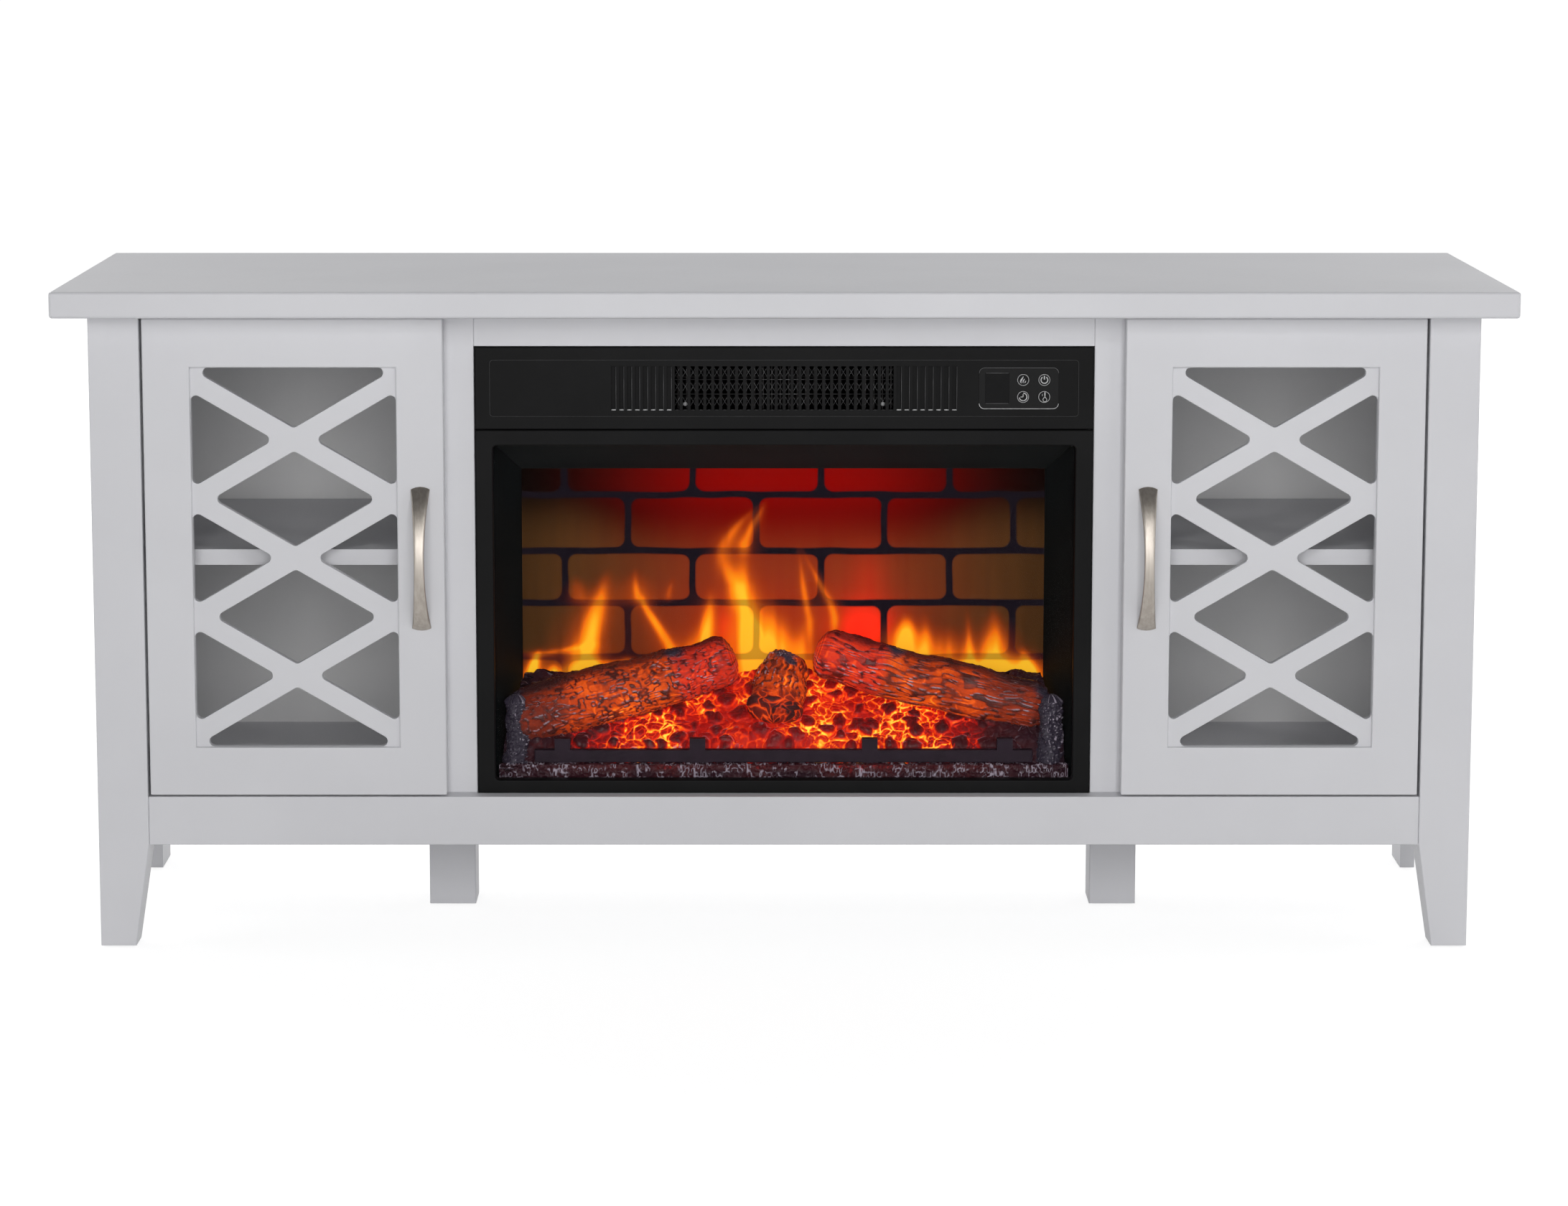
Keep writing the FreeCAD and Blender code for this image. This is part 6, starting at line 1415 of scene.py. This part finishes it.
coal_pushed = heap + COAL_HEIGHT * coal_dome + (1 - 0.7 * coal) * 2.4 * lump * (0.4 + lump_tone)
coal_pushed = coal_pushed + 1.5 * cinder * cinder_tone + 0.6 * fine
hot_spots = sum(share * np.exp(-((x - middle) / reach) ** 2) for middle, reach, share in HOT_PATCHES)
hot = np.clip(0.8 * (patch - 0.5) + hot_spots, 0, 1)
vein = np.exp(-(vein_gap / (0.05 + 0.07 * hot)) ** 2)
thread = np.exp(-(thread_gap / (0.10 + 0.12 * hot)) ** 2)
red_middle = np.exp(-(x / 90) ** 2)
between_coals = (0.31 + 0.10 * red_middle + 0.12 * hot + vein * (0.10 + 0.86 * hot)
                 + thread * (0.04 + 0.30 * hot) - 0.16 * lump * lump_tone)
on_coal = 0.16 + 0.20 * (1 - coal_dome) + 0.06 * thread + 0.05 * red_middle
halo = np.exp(-((coal_first - coal_reach - 0.05) / 0.04) ** 2) * (0.08 + 0.40 * hot)
coal_heat = np.exp(-(np.abs(x) / GLOW_HALF) ** 6) * (coal * on_coal + (1 - coal) * between_coals + halo)
# Painted highlight: pale paint on the upper flanks of the coals stands for glints.
coal_flank = eased(-1.0 * np.gradient(coal_pushed, axis=0) / np.gradient(s, axis=0) - 0.35)
coal_painted_glint = coal_flank * eased(5 * lattice_noise(x_share, s_share, 150, 40, 59) - 2.0) * (1 - 0.8 * vein)
coal_gloss = np.clip(0.5 * coal_dome + 0.6 * lump * lump_tone, 0, 1)
coal_marks = {"glow_heat": coal_heat, "gloss": coal_gloss, "painted_glint": coal_painted_glint}
coal_sheet, coal_marks = closed_sheet(coal_points + coal_out * coal_pushed[..., None], coal_marks, COAL_BACK)
coal_piece = surface_piece("ember_coals", [(coal_sheet, False, False)], coal_marks)
print("slope of coals", SLOPE_GRID, "points")

# %% [markdown]
# Hot resin looks yellow, cooler resin red and cold resin nearly black. One colour ramp over the heat
# mark says all of that, and feeds the base colour and the emission alike. The pale paint on the crests
# is a painted highlight that stands for glints of outside light. It is a mark of its own and doesn't glow.

# %% Glow of the embers
EMBER_HEATS = ((0.0, (0.020, 0.010, 0.017)), (0.18, (0.072, 0.010, 0.012)), (0.34, (0.44, 0.008, 0.006)),
               (0.54, (0.80, 0.036, 0.006)), (0.76, (1.0, 0.23, 0.008)), (1.0, (1.0, 0.62, 0.06)))
EMBER_GRAIN = 1.0
embers = new_finish("glowing_embers", {"Specular IOR Level": 0.12})
ember_heat = mark_value(embers, "glow_heat")
ember_colour = colour_steps(embers, ember_heat, EMBER_HEATS)
ember_paint = mixed(embers, mark_value(embers, "painted_glint"), ember_colour, GLINT_PAINT_GREY)
ember_glow = between(embers, ember_heat, 0.10, 0.65, 0.15, 0.8)
ember_rough = between(embers, mark_value(embers, "gloss"), 0.60, 0.15, 0.1, 0.8)
wire(embers, ember_paint, shader_of(embers).inputs["Base Color"])
wire(embers, ember_colour, shader_of(embers).inputs["Emission Color"])
wire(embers, ember_glow, shader_of(embers).inputs["Emission Strength"])
wire(embers, ember_rough, shader_of(embers).inputs["Roughness"])
lift(embers, grain_noise(embers, [EMBER_GRAIN] * 3), RESIN_LIFT)
fit_piece(ash_piece, "cabinet", "ember_resin", embers, "ember_bed")
fit_piece(coal_piece, "cabinet", "ember_resin", embers, "ember_bed")

# %% [markdown]
# A burnt stump stands at each end of the bed. It is cast like the logs, but upright and cold. The
# function that makes a log takes any middle line, so a stump only needs four stations and char all
# over.

# %% Burnt stumps beside the bed
STUMP_X = 257.5
STUMP_GRID = (120, 130)
STUMP_BARK = (26, 30, 1.8)
COLD = (0.0, 0.0, 0.0, 0.0)
NO_RED = (1.2, 1.4)
STUMP_STATIONS = ((-116, 151, 12.0), (-116.5, 178, 11.5), (-117, 206, 9.5), (-117.5, 231, 10.5))
BURNT_OUT = ((0.5, 0.5, 500),)
for name, side, seed in (("left", -1, 61), ("right", 1, 71)):
    stations = [(side * STUMP_X, *station) for station in STUMP_STATIONS]
    stump_points, stump_marks = cast_log(
        STUMP_GRID, stations, *STUMP_BARK, seed, COLD, NO_RED, BURNT_OUT, (), (), 0.0)
    stump = surface_piece(name + "_burnt_stump", [(stump_points, False, True)], stump_marks)
    fit_piece(stump, "cabinet", "ember_resin", resin)

# %% [markdown]
# The photo was taken from the front and a little above the top, with a long lens. A camera in Blender
# has a focal length, a place and a pitch, and the lens shift moves the frame without turning the
# camera. The values come from a fit to the corners of the cabinet, with a shift that is kept small so
# that other views stay in the frame.

# %% Camera
SENSOR_MM = 36.0
LENS_MM = 93.8
LENS_SHIFT = (0.0192, -0.10)
CAMERA_PLACE = (-0.0286, -3.986, 1.0218)
CAMERA_DIP = 7.993
camera_data = bpy.data.cameras.new("photo_camera")
camera_data.sensor_width = SENSOR_MM
camera_data.lens = LENS_MM
camera_data.shift_x, camera_data.shift_y = LENS_SHIFT
camera = bpy.data.objects.new("photo_camera", camera_data)
camera.location = CAMERA_PLACE
camera.rotation_euler = (math.radians(90 - CAMERA_DIP), 0, 0)
bpy.context.scene.collection.objects.link(camera)
bpy.context.scene.camera = camera
print("camera at", tuple(camera.location))

# %% [markdown]
# A product photo is lit by large soft lamps. The broad fill stands behind the camera, a weaker key
# stands on the right, and a small lamp makes the glints on the resin. One pair of lamps stands beside
# the cabinet and one hangs behind it, so that its sides, top and back aren't dark. All of them are area
# lamps, because the size of a lamp sets how soft its shadow is. The rear pair hangs high: at a low
# angle its mirror image would bleach the satin top.

# %% Light
def softbox(name, place, target, width, height, watts):
    """Rectangular lamp that faces a target."""
    data = bpy.data.lights.new(name, "AREA")
    data.shape = "RECTANGLE"
    data.size = width
    data.size_y = height
    data.energy = watts
    lamp = bpy.data.objects.new(name, data)
    lamp.location = place
    aim = np.array(target) - np.array(place)
    yaw = math.atan2(aim[0], aim[1])
    pitch = math.atan2(aim[2], math.hypot(aim[0], aim[1]))
    lamp.rotation_euler = (math.radians(90) + pitch, 0, -yaw)
    bpy.context.scene.collection.objects.link(lamp)


FRONT_TARGET = (0.0, 0.0, 0.35)
FIRE_TARGET = (0.0, 0.0, 0.3)
BACK_TARGET = (0.0, 0.1, 0.4)
SOFTBOXES = {
    "key_softbox": ((2.7, -2.9, 1.5), FRONT_TARGET, 1.4, 1.6, 10),
    "fill_softbox": ((-0.1, -4.9, 1.35), FRONT_TARGET, 3.0, 2.5, 101),
    "sparkle_softbox": ((0.7, -2.6, 2.0), FIRE_TARGET, 0.28, 0.28, 8),
    "rear_left_softbox": ((-2.6, 3.0, 2.9), BACK_TARGET, 2.6, 2.0, 70),
    "rear_right_softbox": ((2.6, 3.0, 2.9), BACK_TARGET, 2.6, 2.0, 70),
    "side_left_softbox": ((-4.0, -0.4, 1.6), FRONT_TARGET, 2.2, 2.0, 24),
    "side_right_softbox": ((4.0, -0.4, 1.6), FRONT_TARGET, 2.2, 2.0, 24),
}
for name, settings in SOFTBOXES.items():
    softbox(name, *settings)
print("lamps", len(bpy.data.lights))

# %% [markdown]
# The background of the photo is pure white, but a white sky would light every face alike and hide the
# shapes. The Light Path node tells which kind of ray asks for the sky. The camera, gloss and glass see
# white, and the rays that carry light get a weak ambient. Gloss sees a darker ceiling, and that gives
# metal its dark band.

# %% White studio with a dim ceiling
CEILING_STARTS = 0.28
CEILING_FULL = 0.62
CEILING_SHARE = 0.10
AMBIENT_COLOUR = (0.97, 0.98, 1.0, 1)
AMBIENT_STRENGTH = 0.12
world = bpy.data.worlds.new("white_studio")
world.use_nodes = True
bpy.context.scene.world = world
ambient = world.node_tree.nodes["Background"]
ambient.inputs["Color"].default_value = AMBIENT_COLOUR
ambient.inputs["Strength"].default_value = AMBIENT_STRENGTH
seen = add_node(world, "ShaderNodeBackground")
world_mix = add_node(world, "ShaderNodeMixShader")


def larger(material, first, second):
    """The larger of two values."""
    pick = add_node(material, "ShaderNodeMath", operation="MAXIMUM")
    wire(material, first, pick.inputs[0])
    wire(material, second, pick.inputs[1])
    return pick.outputs["Value"]


def seen_directly(material):
    """1 for rays from the camera and those seen in gloss or glass, otherwise 0; and the kinds of ray."""
    ray = add_node(material, "ShaderNodeLightPath").outputs
    mirrored = larger(material, ray["Is Glossy Ray"], ray["Is Transmission Ray"])
    return larger(material, ray["Is Camera Ray"], mirrored), ray


way = add_node(world, "ShaderNodeTexCoord")
height = add_node(world, "ShaderNodeSeparateXYZ")
wire(world, way.outputs["Generated"], height.inputs["Vector"])
ceiling = between(world, height.outputs["Z"], 1.0, CEILING_SHARE, CEILING_STARTS, CEILING_FULL)
world_seen, world_ray = seen_directly(world)
wire(world, larger(world, world_ray["Is Camera Ray"], ceiling), seen.inputs["Strength"])
wire(world, world_seen, world_mix.inputs["Fac"])
wire(world, ambient.outputs["Background"], world_mix.inputs[1])
wire(world, seen.outputs["Background"], world_mix.inputs[2])
wire(world, world_mix.outputs["Shader"], world.node_tree.nodes["World Output"].inputs["Surface"])
print("studio", world.name)

# %% [markdown]
# The cabinet stands on a white floor with a soft shadow. A shadow catcher would need compositing
# afterwards. This floor is a plain diffuse surface with a glow added for the rays that see it directly,
# so it is white except in the shadow of the cabinet, and it turns fully white further out.

# %% Floor
FLOOR_HALF = 60000.0
FLOOR_WHITE = (0.8, 0.8, 0.8, 1)
FLOOR_SHADED = (0.36, 0.36, 0.36, 1)
FLOOR_GLOW = (0.84, 1.0)
FLOOR_GLOW_REACH = (1.0, 3.2)
floor_edge = np.linspace(-FLOOR_HALF, FLOOR_HALF, 3)
floor_grid = np.stack(np.broadcast_arrays(floor_edge[:, None], floor_edge[None, :], 0.0), axis=-1)
floor = surface_piece("pale_floor", [(floor_grid, False, False)])
floor_finish = bpy.data.materials.new("pale_floor_finish")
floor_finish.use_nodes = True
floor_tree = floor_finish.node_tree
floor_tree.nodes.remove(floor_tree.nodes["Principled BSDF"])
plain = add_node(floor_finish, "ShaderNodeBsdfDiffuse", {"Color": FLOOR_WHITE})
shaded = add_node(floor_finish, "ShaderNodeBsdfDiffuse", {"Color": FLOOR_SHADED})
glow = add_node(floor_finish, "ShaderNodeEmission")
floor_place = add_node(floor_finish, "ShaderNodeTexCoord")
floor_reach = add_node(floor_finish, "ShaderNodeVectorMath", operation="LENGTH")
wire(floor_finish, floor_place.outputs["Object"], floor_reach.inputs[0])
floor_glow = between(floor_finish, floor_reach.outputs["Value"], *FLOOR_GLOW, *FLOOR_GLOW_REACH)
wire(floor_finish, floor_glow, glow.inputs["Strength"])
both = add_node(floor_finish, "ShaderNodeAddShader")
floor_mix = add_node(floor_finish, "ShaderNodeMixShader")
wire(floor_finish, shaded.outputs["BSDF"], both.inputs[0])
wire(floor_finish, glow.outputs["Emission"], both.inputs[1])
wire(floor_finish, seen_directly(floor_finish)[0], floor_mix.inputs["Fac"])
wire(floor_finish, plain.outputs["BSDF"], floor_mix.inputs[1])
wire(floor_finish, both.outputs["Shader"], floor_mix.inputs[2])
wire(floor_finish, floor_mix.outputs["Shader"], floor_tree.nodes["Material Output"].inputs["Surface"])
floor.data.materials.append(floor_finish)
print("floor", 2 * FLOOR_HALF, "mm wide")

# %% [markdown]
# At the end the view transform is set to Standard.

# %% View transform
bpy.context.scene.view_settings.view_transform = "Standard"
